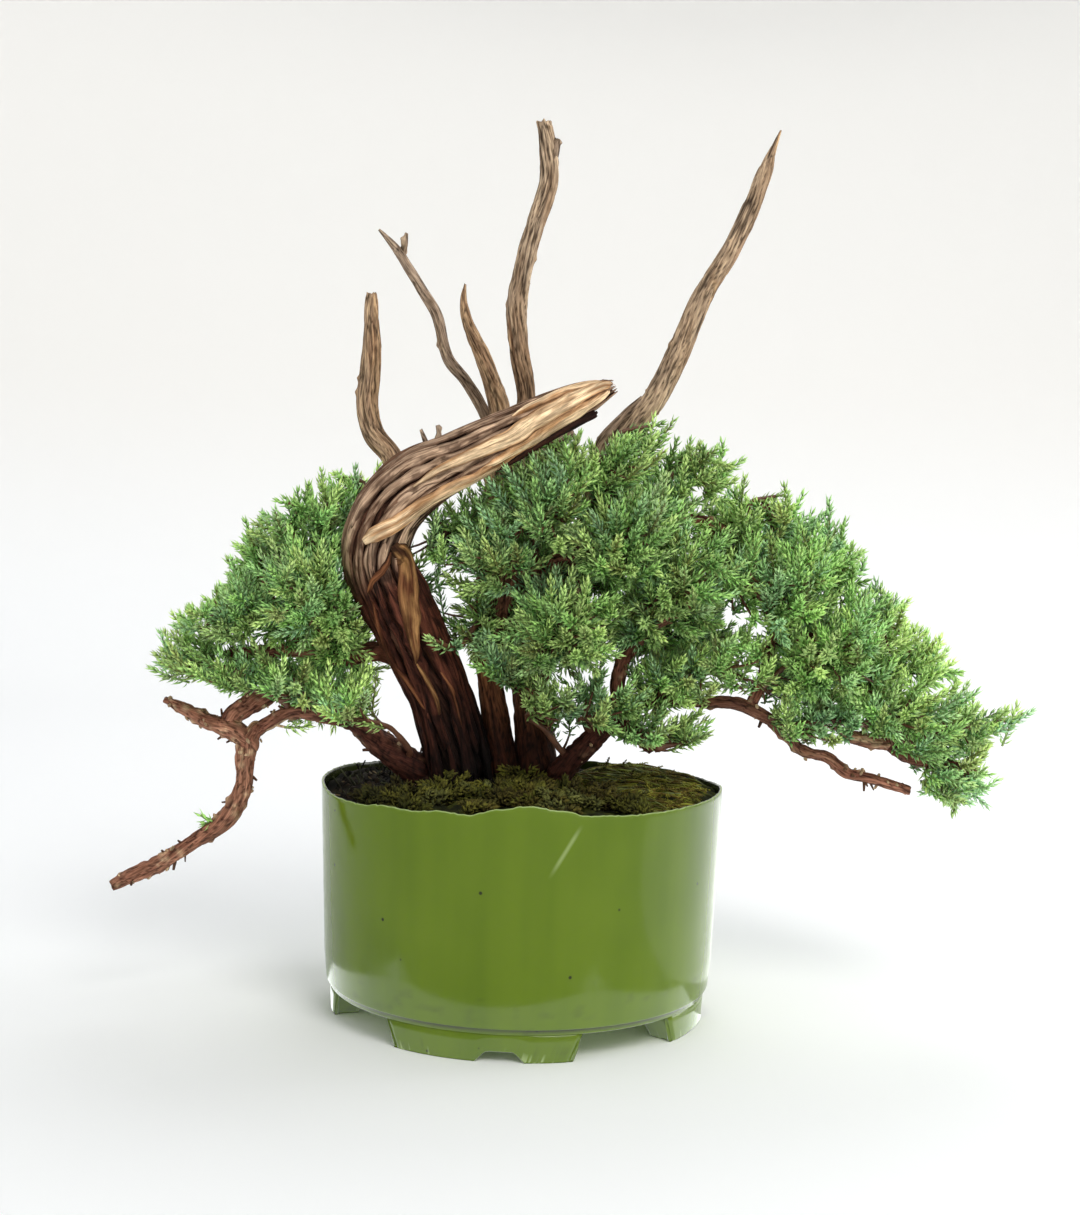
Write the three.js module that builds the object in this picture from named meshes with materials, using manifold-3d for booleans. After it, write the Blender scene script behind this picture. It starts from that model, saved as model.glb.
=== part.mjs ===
// A juniper bonsai in a cut-down nursery pot: pot, soil, moss, the woody plant and its needle sprays.
// Millimetres, +Z up. The model is laid out round the pot's axis, with z = 0 under the feet, and
// moved at the end so that the origin is under the middle of its bounding box.
import * as THREE from 'three';
import { mergeVertices } from 'three/addons/utils/BufferGeometryUtils.js';
import Module from 'manifold-3d';

const wasm = await Module();
wasm.setup();

// ---- driving dimensions ----
const GAP = 0.3; // left between pieces that touch
const DEGREE = Math.PI / 180;
const CUTTER = 1; // how far a cutting block reaches past what it cuts

const POT = {
  sides: 48,
  wall: 1.8,
  rimRadius: 129.4, // at rimHeight, the height of most of the cut edge
  rimHeight: 148.5,
  stepRadius: 123.7, // lowest edge of the wall, where it steps in to the feet
  stepHeight: 20.9,
  bandRadius: 121.9, // short band under the step
  roundHeight: 46, // the wall turns in a little below this
  roundRadius: 125.5,
  floorLow: 17,
  floorTop: 19.6,
  stepDrop: 0.4, // the step's underside slopes up this much outwards
  floorEdge: 0.5, // inside, the floor stops this much short of the wall
};
// Height of the hand-cut rim at azimuths from the front (0) round by the right (90).
const RIM_CUT = [
  [-83, 147], [-64, 144.5], [-50, 144.5], [-38, 147], [-30, 146.4], [-21, 148.4], [-14, 147.3], [-5, 151.6],
  [2, 154], [11, 151.5], [18, 148], [33, 147], [60, 147.6], [82, 148], [110, 144.5], [140, 142.5],
  [185, 142.5], [228, 144.5], [250, 147], [277, 147],
];
const FOOT = {
  azimuths: [-10, 80, 170, 260],
  spreadLow: 52.4, // degrees that a foot takes at the ground and at the floor
  spreadTop: 60,
  radiusLow: 120.4,
  radiusTop: 121.3,
  depthLow: 16, // how far its side walls reach inwards
  depthTop: 24,
  wall: 2.2,
  top: 18.6,
};
const NOTCH = { turn: 6, spreadLow: 14.4, spreadTop: 6.4, height: 6.5 }; // arch in a foot's lower edge
const DRAIN = { radius: 7, fromAxis: 88, sides: 6, length: 8 };

const SOIL_TOP = 137;
const SOIL = {
  sides: 30,
  rings: [104, 78],
  lump: 1.6,
  floorGap: 1.5, // off the wall at the floor
  roundGap: 1, // off the wall where it turns in
  crownGap: 0.4,
};
// Crossed waves that lump the soil and moss: turn per mm along x and y, and where each starts.
const WAVES = [[0.11, 0.05, 0], [-0.04, 0.13, 2], [0.21, 0.21, 0]];
const MOSS = {
  steps: 11,
  rings: 3,
  edge: 2.2, // thickness along the edges
  wallGap: 0.5,
  lump: 3,
  lumpScale: 2.3, // its lumps are this many times finer than the soil's
  endSlope: 4, // the full thickness is reached a quarter of the way from each end
  innerSlope: [3, 0.2], // slope and start of the rise from the inner edge outwards
  outerSlope: [5, 0.45], // the same from the wall inwards
};
// Azimuths in degrees; the inner edge of each mat swings in and out over its share of the way across.
const MOSS_FRONT = {
  from: -62, to: 48, thickness: 7,
  innerRadius: (across) => 46 + 18 * Math.abs(2 * across - 1),
};
const MOSS_RIGHT = {
  from: 52, to: 158, thickness: 6,
  innerRadius: (across) => 66 - 24 * across,
};

const LEAF = {
  length: 6, // an awl-shaped needle
  radius: 0.5,
  sunk: 0.1, // where its root starts, off the shoot's middle line
  lean: 48, // degrees between a needle and its shoot, half way along
  leanRoot: 1.15, // more at the shoot's root
  leanFall: 0.35,
  firstShare: 0.8, // of one needle's spacing, from the root to the first needle
  lastShare: 0.1,
};
const SPRAY = {
  leafy: 52, // length of twig, back from its end, that carries shoots
  shoots: 3, // beside the one that carries the twig on
  shootLength: 29,
  shootRadius: 1.2,
  tipStart: 0.82,
  shootLean: 50,
  leadLeaves: 4,
  sideLeaves: 3,
  twigRadius: 1.9,
  twigSides: 4,
  shootSides: 3,
  lift: 0.28, // how much shoots turn up towards the light
  kneeReach: 7, // a twig leaves its limb squarely for this far, or a quarter of its way
  arch: 0.06, // rise of a twig's middle, as a share of its way
  rootTaper: 120, // mm of twig for each mm of extra radius at its root
  pointRadius: 0.12,
  inward: 0.15, // its limb is sought this share of the way to the plant's heart
  limbChoices: 12,
  twigTries: 200,
  bendStep: 0.4, // mm of extra bend at each try
  shootTries: 12,
  angleStep: 0.9, // radians between tries, and between one shoot and the next
  angleBetween: 2.4,
  shortest: 0.75, // shoots vary in length from this share up
  lengthRange: 0.35,
  leafyMost: 0.7, // share of a twig that may carry shoots
};
const SEED = { first: 977, step: 131 };
const CLEAR = 0.35; // smallest gap between a spray and any other piece's solid

// ---- the woody plant: [x, y, z, radius] along each limb ----
const SIDES = { trunk: 11, trunkSteps: 2, stem: 6, deadTwig: 5, liveLimb: 4 };
const RIBS = { base: 0.93, depth: 0.07, wind: 0.012 }; // shares of the radius, and turn per mm
const CROWN = { // where all the stems meet, wider than deep
  sides: 14,
  flat: 0.48,
  line: [[-24, -4, 88, 36], [-22, -5, 118, 49], [-21, -5, 138, 56], [-20, -5, 152, 45]],
};

const TRUNK = [ // twists up to the left, then sweeps over to the right as stripped dead wood
  [-38, -8, 141, 22], [-42, -8, 163, 20.5], [-55, -12, 205, 19.5], [-70, -20, 238, 20.5],
  [-83, -28, 265, 21.5], [-95, -35, 292, 20.5], [-88, -40, 318, 20], [-69, -42, 339, 19.5],
  [-46, -42, 352, 17], [-19, -42, 367, 14.5], [11, -40, 383, 12], [36, -38, 394, 9.5], [51, -37, 401, 4.5],
];

const STEMS = {
  stem_mid: [[-12, -2, 142, 13], [-16, 0, 173, 10.5], [-20, 2, 199, 9], [-25, 8, 227, 8.5],
    [-27, 16, 263, 8.5], [-24, 20, 302, 8.5], [-21, 21, 347, 8.8], [-21, 20, 386, 8.2], [-27, 18, 406, 7],
    [-34, 16, 423, 6.3], [-43, 14, 442, 4.4], [-46, 13, 456, 2.4], [-45, 13, 467, 0.9]],
  stem_right: [[11, 2, 144, 15], [8, 4, 163, 13.5], [5, 6, 189, 12], [-1, 16, 237, 9.5],
    [-5, 26, 289, 8.5], [-6, 32, 348, 7.2], [-4, 36, 394, 6.2], [-10, 38, 427, 6.2], [-12, 40, 456, 6.4],
    [-8, 42, 483, 6], [-1, 45, 511, 6], [7, 48, 538, 6.2], [6, 50, 559, 6], [2, 51, 579, 5.3]],
  dead_right: [[3, 10, 205, 9.5], [22, 20, 257, 9.2], [37, 24, 310, 9.2], [52, 26, 353, 9],
    [67, 28, 379, 8.7], [80, 29, 396, 8.5], [93, 31, 423, 8.4], [112, 34, 469, 6.9], [127, 36, 495, 6.3],
    [140, 38, 523, 6.5], [149, 40, 548, 5.4], [152, 40, 558, 3.2], [158, 41, 575, 0.8]],
  dead_left: [[-84, -27, 300, 8], [-83, -12, 330, 7.7], [-89, -2, 353, 7.4], [-101, 2, 368, 7.6],
    [-106, 4, 385, 7.5], [-105, 6, 406, 7.2], [-104, 8, 426, 6.7], [-105, 9, 447, 5.3],
    [-105, 10, 460, 4]],
};

const DEAD_TWIGS = {
  dead_fork: [[-21, 22, 328, 5], [-25, 28, 367, 4.5], [-31, 32, 384, 4.3], [-44, 38, 405, 4],
    [-57, 43, 421, 4.1], [-65, 49, 449, 4.1], [-73, 52, 462, 3.9], [-85, 56, 480, 3.6],
    [-92, 58, 491, 3.4], [-100, 59, 500, 2], [-106, 60, 506, 0.8]],
  fork_tine: [[-91, 58, 488, 2.4], [-88, 57, 496, 2], [-87, 56, 504, 1.2]],
  stub_top: [[6, 49, 545, 3.2], [10, 48, 556, 3.2], [12, 47, 567, 2.2]],
  dead_low: [[-5, 31, 335, 5.8], [9, 30, 360, 6], [19, 28, 368, 5.2], [27, 27, 375, 3.8]],
  cut_stub: [[240, 6, 176, 4.8], [224, 6, 178, 5.4], [209, 5, 181, 4.6]],
  stub_left: [[-178, -10, 176, 5.6], [-189, -8, 178, 6], [-204, -5, 181, 5], [-221, -2, 189, 4.2],
    [-233, 0, 194, 2.4]],
  bare_down: [[-174, -10, 174, 5], [-178, -10, 160, 6.4], [-178, -11, 144, 5.6], [-182, -13, 131, 5.6],
    [-190, -15, 119, 5.6], [-201, -17, 110, 5.3], [-215, -20, 101, 4.9], [-232, -23, 90, 4.9],
    [-248, -26, 83, 5], [-260, -28, 77, 4]],
};

const LIVE_LIMBS = {
  limb_left: [[-74, -20, 226, 8], [-93, -14, 230, 6.5], [-116, -6, 226, 6], [-146, 2, 228, 5],
    [-171, 6, 226, 4.2], [-196, 8, 223, 3]],
  left_up: [[-126, -2, 227, 4.4], [-138, 10, 250, 4], [-143, 22, 279, 3.4], [-137, 30, 308, 2.4]],
  left_mid: [[-146, 2, 228, 4], [-164, 14, 251, 3.4], [-174, 20, 277, 2.4]],
  left_back: [[-123, -2, 227, 4], [-136, 38, 238, 3.4], [-150, 62, 250, 2.4]],
  limb_low: [[-60, -8, 149, 11], [-79, -12, 162, 10], [-93, -15, 173, 8.5], [-106, -18, 184, 7.4],
    [-119, -18, 188, 6.2], [-135, -15, 190, 5.4], [-150, -12, 189, 4.8], [-163, -11, 182, 4.8],
    [-174, -10, 174, 5]],
  bare_link: [[-189, -8, 177, 5], [-183, -3, 189, 5], [-171, 0, 195, 5.2], [-165, 3, 201, 4.6],
    [-169, 5, 211, 4], [-171, 6, 226, 3.8]],
  limb_fork: [[19, -9, 149, 10], [33, -16, 166, 8], [47, -20, 181, 6.8], [56, -22, 190, 6.2],
    [67, -26, 187, 5.4], [83, -30, 174, 4.6]],
  fork_up: [[55, -22, 188, 5.8], [59, -22, 203, 5.6], [59, -20, 216, 5], [66, -18, 236, 4.6],
    [82, -18, 252, 4], [104, -14, 262, 3.2]],
  limb_far: [[58, -21, 202, 5], [86, -18, 204, 5], [116, -14, 203, 5], [138, -12, 202, 5],
    [155, -12, 194, 4.7], [167, -12, 184, 4.7], [179, -12, 173, 4.4], [194, -12, 170, 4.2],
    [208, -12, 160, 4.1], [225, -12, 156, 3.7], [249, -12, 149, 3.2]],
  far_up: [[144, -12, 200, 4.2], [151, -7, 214, 3.6], [159, 0, 243, 3.4], [173, 8, 275, 2.6]],
  far_end: [[158, 0, 241, 3.4], [194, 6, 243, 3.8], [223, 8, 211, 4.2], [237, 6, 180, 5],
    [249, 4, 170, 5.4], [271, 2, 166, 4.2], [284, 0, 164, 2.6]],
  limb_top: [[-25, 8, 225, 8], [-18, 0, 256, 8], [-13, -2, 277, 7.5], [-13, 0, 296, 6.2],
    [-5, 10, 314, 4.6], [3, 18, 329, 3.4]],
  top_right: [[-13, -2, 282, 6], [8, -4, 287, 5.7], [26, -6, 294, 5.2], [53, -6, 306, 4.8],
    [81, -4, 315, 4.2], [110, 4, 319, 3.6], [140, 10, 306, 3.2], [173, 16, 302, 2.4]],
  limb_back: [[-14, 0, 264, 6], [2, 36, 259, 5], [15, 64, 262, 4.2], [49, 78, 274, 3.6],
    [83, 80, 288, 2.6]],
  back_far: [[110, 4, 319, 3.6], [148, 40, 286, 3.4], [186, 62, 258, 2.6]],
};

// Where each spray's tip reaches.
const SPRAY_TIPS = [
  // left of the trunk
  [-128, 25, 342], [-162, 5, 324], [-190, 20, 294], [-205, -10, 260], [-239, 5, 222], [-203, -20, 212],
  [-157, -34, 206], [-111, -46, 193], [-140, -42, 273], [-118, 32, 282], [-191, 75, 278], [-147, 62, 229],
  // middle, over the pot
  [-63, -12, 314], [-60, -53, 243], [-10, -52, 222], [15, -58, 201], [27, 6, 369], [55, -22, 360],
  [84, 10, 380], [124, 5, 364], [19, -52, 327], [68, -58, 313], [27, -74, 255], [109, -46, 283],
  [140, -32, 231], [80, -46, 179], [115, -28, 183], [50, -50, 198], [-17, -48, 299], [7, 86, 311],
  [76, 96, 326], [50, 102, 259], [122, 70, 249],
  // right, trailing past the pot
  [165, 10, 337], [214, 15, 297], [244, 5, 265], [270, 12, 242], [329, 5, 199], [301, -6, 160],
  [281, 0, 137], [165, -36, 287], [203, -34, 244], [177, -26, 185], [251, -22, 200], [184, 62, 293],
  [226, 52, 233],
];
const PLANT_HEART = new THREE.Vector3(-15, 0, 235); // the point that twigs lead away from

// ---- helpers ----
function randomFrom(seed) {
  let state = seed;
  return () => {
    state = (state * 1664525 + 1013904223) % 4294967296;
    return state / 4294967296;
  };
}

function toSolid(geometry) {
  const bare = geometry.clone();
  bare.deleteAttribute('normal');
  bare.deleteAttribute('uv');
  const merged = mergeVertices(bare);
  return new wasm.Manifold(new wasm.Mesh({
    numProp: 3,
    vertProperties: new Float32Array(merged.attributes.position.array),
    triVerts: new Uint32Array(merged.index.array),
  }));
}

function toGeometry(solid) {
  const mesh = solid.getMesh();
  const geometry = new THREE.BufferGeometry();
  geometry.setAttribute('position', new THREE.BufferAttribute(mesh.vertProperties, 3));
  geometry.setIndex(new THREE.BufferAttribute(mesh.triVerts, 1));
  geometry.computeVertexNormals();
  return geometry;
}

function joined(solids) {
  return solids.reduce((sum, solid) => sum.add(solid));
}

// Moves every vertex of a geometry to place(x, y, z).
function bent(geometry, place) {
  const points = geometry.attributes.position;
  const point = new THREE.Vector3();
  for (let i = 0; i < points.count; i++) {
    point.fromBufferAttribute(points, i);
    const moved = place(point);
    points.setXYZ(i, moved.x, moved.y, moved.z);
  }
  return geometry;
}

function polar(azimuth, radius, z) {
  return new THREE.Vector3(radius * Math.sin(azimuth), -radius * Math.cos(azimuth), z);
}

// ---- bars: round or ribbed, tapering, along a smooth line ----
function ringsOf(line, steps) {
  const points = line.map(([x, y, z]) => new THREE.Vector3(x, y, z));
  const curve = new THREE.CatmullRomCurve3(points, false, 'centripetal');
  const count = steps * (line.length - 1);
  const turn = new THREE.Quaternion();
  let before = new THREE.Vector3(0, 1, 0);
  const rings = [];
  for (let i = 0; i <= count; i++) {
    const along = curve.getTangent(i / count);
    turn.premultiply(new THREE.Quaternion().setFromUnitVectors(before, along));
    before = along;
    const knot = Math.min(Math.floor(i / steps), line.length - 2);
    const radius = THREE.MathUtils.lerp(line[knot][3], line[knot + 1][3], i / steps - knot);
    rings.push({ centre: curve.getPoint(i / count), along, turn: turn.clone(), radius });
  }
  return rings;
}

function bar(rings, sides, section = () => 1) {
  const last = rings.length - 1;
  const shape = new THREE.CylinderGeometry(1, 1, 1, sides, last);
  return toSolid(bent(shape, (point) => {
    const ring = rings[Math.round((point.y + 0.5) * last)];
    const size = ring.radius * section(Math.atan2(point.z, point.x), ring);
    const spot = new THREE.Vector3(point.x, 0, point.z).multiplyScalar(size);
    return spot.applyQuaternion(ring.turn).add(ring.centre);
  }));
}

// Lengthwise ribs of old bark and split wood: lobes round the bar that wind slowly as it grows.
function ribs(angle, ring) {
  const wind = (ring.centre.z + ring.centre.x) * RIBS.wind;
  return RIBS.base + RIBS.depth * Math.cos(3 * (angle + wind)) * Math.sin(2 * angle + 1);
}

// ---- pot ----
function rimCut(azimuth) {
  const degrees = azimuth / DEGREE;
  const turned = degrees < RIM_CUT[0][0] ? degrees + 360 : degrees;
  const next = Math.max(1, RIM_CUT.findIndex(([at]) => at >= turned));
  const [from, low] = RIM_CUT[next - 1];
  const [to, high] = RIM_CUT[next];
  const share = (turned - from) / (to - from);
  return low + (high - low) * (0.5 - 0.5 * Math.cos(Math.PI * share));
}

const wallSlope = (POT.rimRadius - POT.roundRadius) / (POT.rimHeight - POT.roundHeight);
const wallRadius = (z) => POT.roundRadius + (z - POT.roundHeight) * wallSlope; // outside, above the round

function potCup() {
  const { wall, rimRadius, rimHeight, stepRadius, stepHeight, bandRadius, roundHeight, roundRadius } = POT;
  const profile = [
    [0, POT.floorLow], [bandRadius, POT.floorLow], [bandRadius, stepHeight - POT.stepDrop],
    [stepRadius, stepHeight], [roundRadius, roundHeight], [rimRadius, rimHeight],
    [rimRadius - wall, rimHeight], [roundRadius - wall, roundHeight],
    [bandRadius - wall - POT.floorEdge, POT.floorTop], [0, POT.floorTop],
  ].map(([radius, z]) => new THREE.Vector2(radius, z));
  const cup = new THREE.LatheGeometry(profile, POT.sides);
  return toSolid(bent(cup, ({ x, y: height, z }) => {
    const azimuth = Math.atan2(x, z);
    const radius = Math.hypot(x, z);
    if (height < rimHeight) return polar(azimuth, radius, height);
    const cut = rimCut(azimuth);
    return polar(azimuth, radius + (cut - rimHeight) * wallSlope, cut);
  }));
}

// A block of a ring, from a box whose +Y side becomes the outside: its spread in degrees, outer
// radius, depth and height are each given at the low and the high end.
function ringBlock({ azimuth, spread, radius, depth, z }, steps = 4) {
  const block = new THREE.BoxGeometry(1, 1, 1, steps, 1, 1);
  return toSolid(bent(block, (point) => {
    const up = point.z + 0.5;
    const at = (ends) => THREE.MathUtils.lerp(ends[0], ends[1], up);
    const turn = (azimuth - point.x * at(spread)) * DEGREE;
    return polar(turn, at(radius) - (0.5 - point.y) * at(depth), at(z));
  }));
}

function foot(azimuth) {
  const { wall, spreadLow, spreadTop, radiusLow, radiusTop, depthLow, depthTop, top } = FOOT;
  const wallDegrees = (2 * wall) / radiusLow / DEGREE;
  const outside = ringBlock({
    azimuth,
    spread: [spreadLow, spreadTop],
    radius: [radiusLow, radiusTop],
    depth: [depthLow, depthTop],
    z: [0, top],
  });
  const hollow = ringBlock({
    azimuth,
    spread: [spreadLow - wallDegrees, spreadTop - wallDegrees],
    radius: [radiusLow - wall, radiusTop - wall],
    depth: [depthTop, depthTop],
    z: [-CUTTER, top + CUTTER],
  });
  const notch = ringBlock({
    azimuth: azimuth + NOTCH.turn,
    spread: [NOTCH.spreadLow, NOTCH.spreadTop],
    radius: [radiusLow + 2 * CUTTER, radiusLow + 2 * CUTTER],
    depth: [wall + 4 * CUTTER, wall + 4 * CUTTER],
    z: [-CUTTER, NOTCH.height],
  }, 2);
  return outside.subtract(hollow).subtract(notch);
}

function drain(azimuth) {
  const hole = new THREE.CylinderGeometry(DRAIN.radius, DRAIN.radius, DRAIN.length, DRAIN.sides);
  hole.rotateX(Math.PI / 2);
  const middle = polar(azimuth * DEGREE, DRAIN.fromAxis, POT.floorTop);
  hole.translate(middle.x, middle.y, middle.z);
  return toSolid(hole);
}

function pot() {
  const body = joined([potCup(), ...FOOT.azimuths.map(foot)]);
  return body.subtract(joined(FOOT.azimuths.map(drain)));
}

// ---- soil and moss ----
const insideWall = (z) => {
  const facet = Math.cos(Math.PI / POT.sides);
  return (wallRadius(z) - POT.wall) * facet - GAP;
};

// Gentle lumps of the soil and moss, from -1 to 1.
function lumps(x, y) {
  const heights = WAVES.map(([across, away, start]) => Math.sin(x * across + y * away + start));
  return heights.reduce((sum, height) => sum + height) / WAVES.length;
}

function soil() {
  const low = POT.floorTop + GAP;
  const profile = [
    [0, low], [POT.bandRadius - POT.wall - SOIL.floorGap, low],
    [insideWall(POT.roundHeight) - SOIL.roundGap, POT.roundHeight],
    ...[insideWall(SOIL_TOP), ...SOIL.rings, 0].map((radius) => [radius, SOIL_TOP - SOIL.lump]),
  ].map(([radius, z]) => new THREE.Vector2(radius, z));
  const fill = toSolid(bent(new THREE.LatheGeometry(profile, SOIL.sides), ({ x, y: height, z }) => {
    const top = height > POT.roundHeight;
    return new THREE.Vector3(x, -z, top ? height + SOIL.lump * lumps(x, -z) : height);
  }));
  return fill.subtract(crownBar(SOIL.crownGap));
}

// A mat of moss between two azimuths, lying on the soil, thick in the middle and thin at its edge.
function moss({ from, to, thickness, innerRadius }) {
  const { edge, endSlope, innerSlope, outerSlope, lump, lumpScale } = MOSS;
  const low = SOIL_TOP + GAP;
  const outerRadius = insideWall(SOIL_TOP) - MOSS.wallGap;
  const mat = new THREE.BoxGeometry(1, 1, 1, MOSS.steps, MOSS.rings, 1);
  return toSolid(bent(mat, (point) => {
    const across = 0.5 - point.x;
    const outward = point.y + 0.5;
    const azimuth = THREE.MathUtils.lerp(from, to, across) * DEGREE;
    const inner = innerRadius(across);
    const spot = polar(azimuth, THREE.MathUtils.lerp(inner, outerRadius, outward), low);
    if (point.z > 0) {
      const fromEnds = endSlope * Math.min(across, 1 - across);
      const fromInner = innerSlope[0] * outward + innerSlope[1];
      const fromOuter = outerSlope[0] * (1 - outward) + outerSlope[1];
      const full = thickness + lump * lumps(lumpScale * spot.x, lumpScale * spot.y);
      spot.z += edge + Math.min(1, fromEnds, fromInner, fromOuter) * full;
    }
    return spot;
  }));
}

// ---- woody plant ----
function crownBar(grow) {
  const rings = ringsOf(CROWN.line.map(([x, y, z, radius]) => [x, y, z, radius + grow]), 1);
  rings.forEach((ring) => { ring.turn.identity(); });
  const last = rings.length - 1;
  const shape = new THREE.CylinderGeometry(1, 1, 1, CROWN.sides, last);
  return toSolid(bent(shape, (point) => {
    const ring = rings[Math.round((point.y + 0.5) * last)];
    const flat = ring.radius * CROWN.flat + grow * (1 - CROWN.flat);
    return new THREE.Vector3(point.x * ring.radius, -point.z * flat, 0).add(ring.centre);
  }));
}

function limbsOf(lines, sides, live) {
  return Object.values(lines).map((line) => ({ rings: ringsOf(line, 1), sides, live }));
}

const woodRings = [
  { rings: ringsOf(TRUNK, SIDES.trunkSteps), sides: SIDES.trunk, section: ribs },
  ...limbsOf(STEMS, SIDES.stem, false),
  ...limbsOf(DEAD_TWIGS, SIDES.deadTwig, false),
  ...limbsOf(LIVE_LIMBS, SIDES.liveLimb, true),
];

function wood() {
  return joined([crownBar(0), ...woodRings.map(({ rings, sides, section }) => bar(rings, sides, section))]);
}

// ---- needle sprays ----
const MIDDLE = new THREE.Vector3();

// Shortest distance between two stretches, each {a, b}, by clamped closest points.
function apart(one, two) {
  const u = one.b.clone().sub(one.a);
  const v = two.b.clone().sub(two.a);
  const w = one.a.clone().sub(two.a);
  const uu = u.dot(u);
  const vv = v.dot(v);
  const uv = u.dot(v);
  const uw = u.dot(w);
  const vw = v.dot(w);
  const spread = uu * vv - uv * uv;
  let s = spread > 1e-9 ? THREE.MathUtils.clamp((uv * vw - vv * uw) / spread, 0, 1) : 0;
  const t = THREE.MathUtils.clamp((uv * s + vw) / vv, 0, 1);
  s = THREE.MathUtils.clamp((uv * t - uw) / uu, 0, 1);
  return w.addScaledVector(u, s).addScaledVector(v, -t).length();
}

// Stretches of solid that a spray keeps clear of: wood now, and each spray as it is placed.
const taken = woodRings.flatMap(({ rings }, limb) => rings.slice(1).map((ring, i) => ({
  a: rings[i].centre, b: ring.centre, radius: Math.max(ring.radius, rings[i].radius), limb,
})));

function isClear(stretch, room, ownLimb = -1) {
  const reach = stretch.a.distanceTo(stretch.b) / 2;
  MIDDLE.addVectors(stretch.a, stretch.b).multiplyScalar(0.5);
  return taken.every((other) => {
    if (other.limb === ownLimb) return true;
    const far = reach + other.a.distanceTo(other.b) / 2 + other.radius + stretch.radius + room;
    const between = Math.hypot(
      MIDDLE.x - (other.a.x + other.b.x) / 2,
      MIDDLE.y - (other.a.y + other.b.y) / 2,
      MIDDLE.z - (other.a.z + other.b.z) / 2,
    );
    return between > far || apart(stretch, other) > other.radius + stretch.radius + room;
  });
}

// A twig from the side of a limb to a spray's tip: it leaves the limb squarely, arches over and
// ends in a shoot of its own, straight and closing to a point.
function twigLine(ring, tip, lead, bend) {
  const { shootLength, shootRadius, twigRadius, tipStart } = SPRAY;
  const end = tip.clone().addScaledVector(lead, -shootLength);
  const out = end.clone().sub(ring.centre);
  out.addScaledVector(ring.along, -out.dot(ring.along)).normalize();
  const start = ring.centre.clone().addScaledVector(out, ring.radius + GAP);
  const reach = start.distanceTo(end);
  const knee = start.clone().addScaledVector(out, Math.min(SPRAY.kneeReach, reach / 4));
  const top = knee.clone().lerp(end, 0.5).add(bend).add(new THREE.Vector3(0, 0, reach * SPRAY.arch));
  const close = end.clone().addScaledVector(lead, shootLength * tipStart);
  const rootRadius = twigRadius + reach / SPRAY.rootTaper;
  const sizes = [rootRadius, twigRadius, twigRadius, twigRadius, shootRadius, SPRAY.pointRadius];
  return [start, knee, top, end, close, tip].map(({ x, y, z }, i) => [x, y, z, sizes[i]]);
}

const liveRings = woodRings.flatMap(({ rings, live }, limb) => (
  live ? rings.slice(1).map((ring) => ({ ring, limb })) : []
));

// The straight stretches from each ring to the next.
function stretches(rings) {
  return rings.slice(1).map((ring, i) => {
    const before = rings[i];
    return { a: before.centre, b: ring.centre, radius: before.radius };
  });
}

// The first clear twig, trying the limb points nearest to the tip and then more and more bend.
function clearTwig(tip, lead, random) {
  const aim = tip.clone().addScaledVector(lead, -SPRAY.shootLength).lerp(PLANT_HEART, SPRAY.inward);
  const bases = [...liveRings].sort((a, b) => a.ring.centre.distanceTo(aim) - b.ring.centre.distanceTo(aim));
  for (let attempt = 0; attempt < SPRAY.twigTries; attempt++) {
    const { ring, limb } = bases[attempt % SPRAY.limbChoices];
    const bend = new THREE.Vector3(random() - 0.5, random() - 0.5, random() - 0.5);
    bend.multiplyScalar(attempt * SPRAY.bendStep);
    const rings = ringsOf(twigLine(ring, tip, lead, bend), 1);
    const parts = stretches(rings);
    if (parts.every((part, i) => isClear(part, 2 * CLEAR, i === 0 ? limb : -1))) return { rings, parts };
  }
  throw new Error(`no clear way to a spray's tip at ${tip.toArray()}`);
}

// How a shape that stands along +Y is turned to point along a direction, after a spin round itself.
function pointing(direction, spin) {
  const up = new THREE.Vector3(0, 1, 0);
  return new THREE.Quaternion().setFromUnitVectors(up, direction)
    .multiply(new THREE.Quaternion().setFromAxisAngle(up, spin));
}

// A three-sided shoot, even in thickness up to tipStart and then closing to a point.
function shootCore({ a, b }, turn) {
  const length = a.distanceTo(b);
  const core = new THREE.ConeGeometry(SPRAY.shootRadius, length, SPRAY.shootSides, 2);
  return toSolid(bent(core, (point) => {
    const share = point.y / length + 0.5;
    const middleRing = Math.abs(share - 0.5) < 0.1;
    const widen = middleRing ? 2 : 1; // the cone has half its width there
    const along = middleRing ? SPRAY.tipStart * length : share * length;
    return new THREE.Vector3(point.x * widen, along, point.z * widen).applyQuaternion(turn).add(a);
  }));
}

// Three-sided needles in turn on the shoot's flat faces, from its root to its tip.
function needles({ a, b }, turn, faces, count, fresh) {
  const solids = [];
  for (let i = 0; i < count; i++) {
    const share = SPRAY.tipStart * ((i + LEAF.firstShare) / (count - LEAF.lastShare));
    const lean = LEAF.lean * (LEAF.leanRoot - LEAF.leanFall * share) * DEGREE;
    const face = (1 + 2 * i) * (Math.PI / faces);
    const direction = new THREE.Vector3(
      Math.sin(face) * Math.sin(lean),
      Math.cos(lean),
      Math.cos(face) * Math.sin(lean),
    ).applyQuaternion(turn);
    const from = a.clone().lerp(b, share);
    const needle = { a: from, b: from.clone().addScaledVector(direction, LEAF.length), radius: LEAF.radius };
    if (!isClear(needle, CLEAR)) continue;
    const cone = new THREE.ConeGeometry(LEAF.radius, LEAF.length, 3);
    cone.translate(0, LEAF.length / 2 + LEAF.sunk, 0);
    cone.applyQuaternion(pointing(direction, face));
    cone.translate(from.x, from.y, from.z);
    solids.push(toSolid(cone));
    fresh.push(needle);
  }
  return solids;
}

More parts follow.
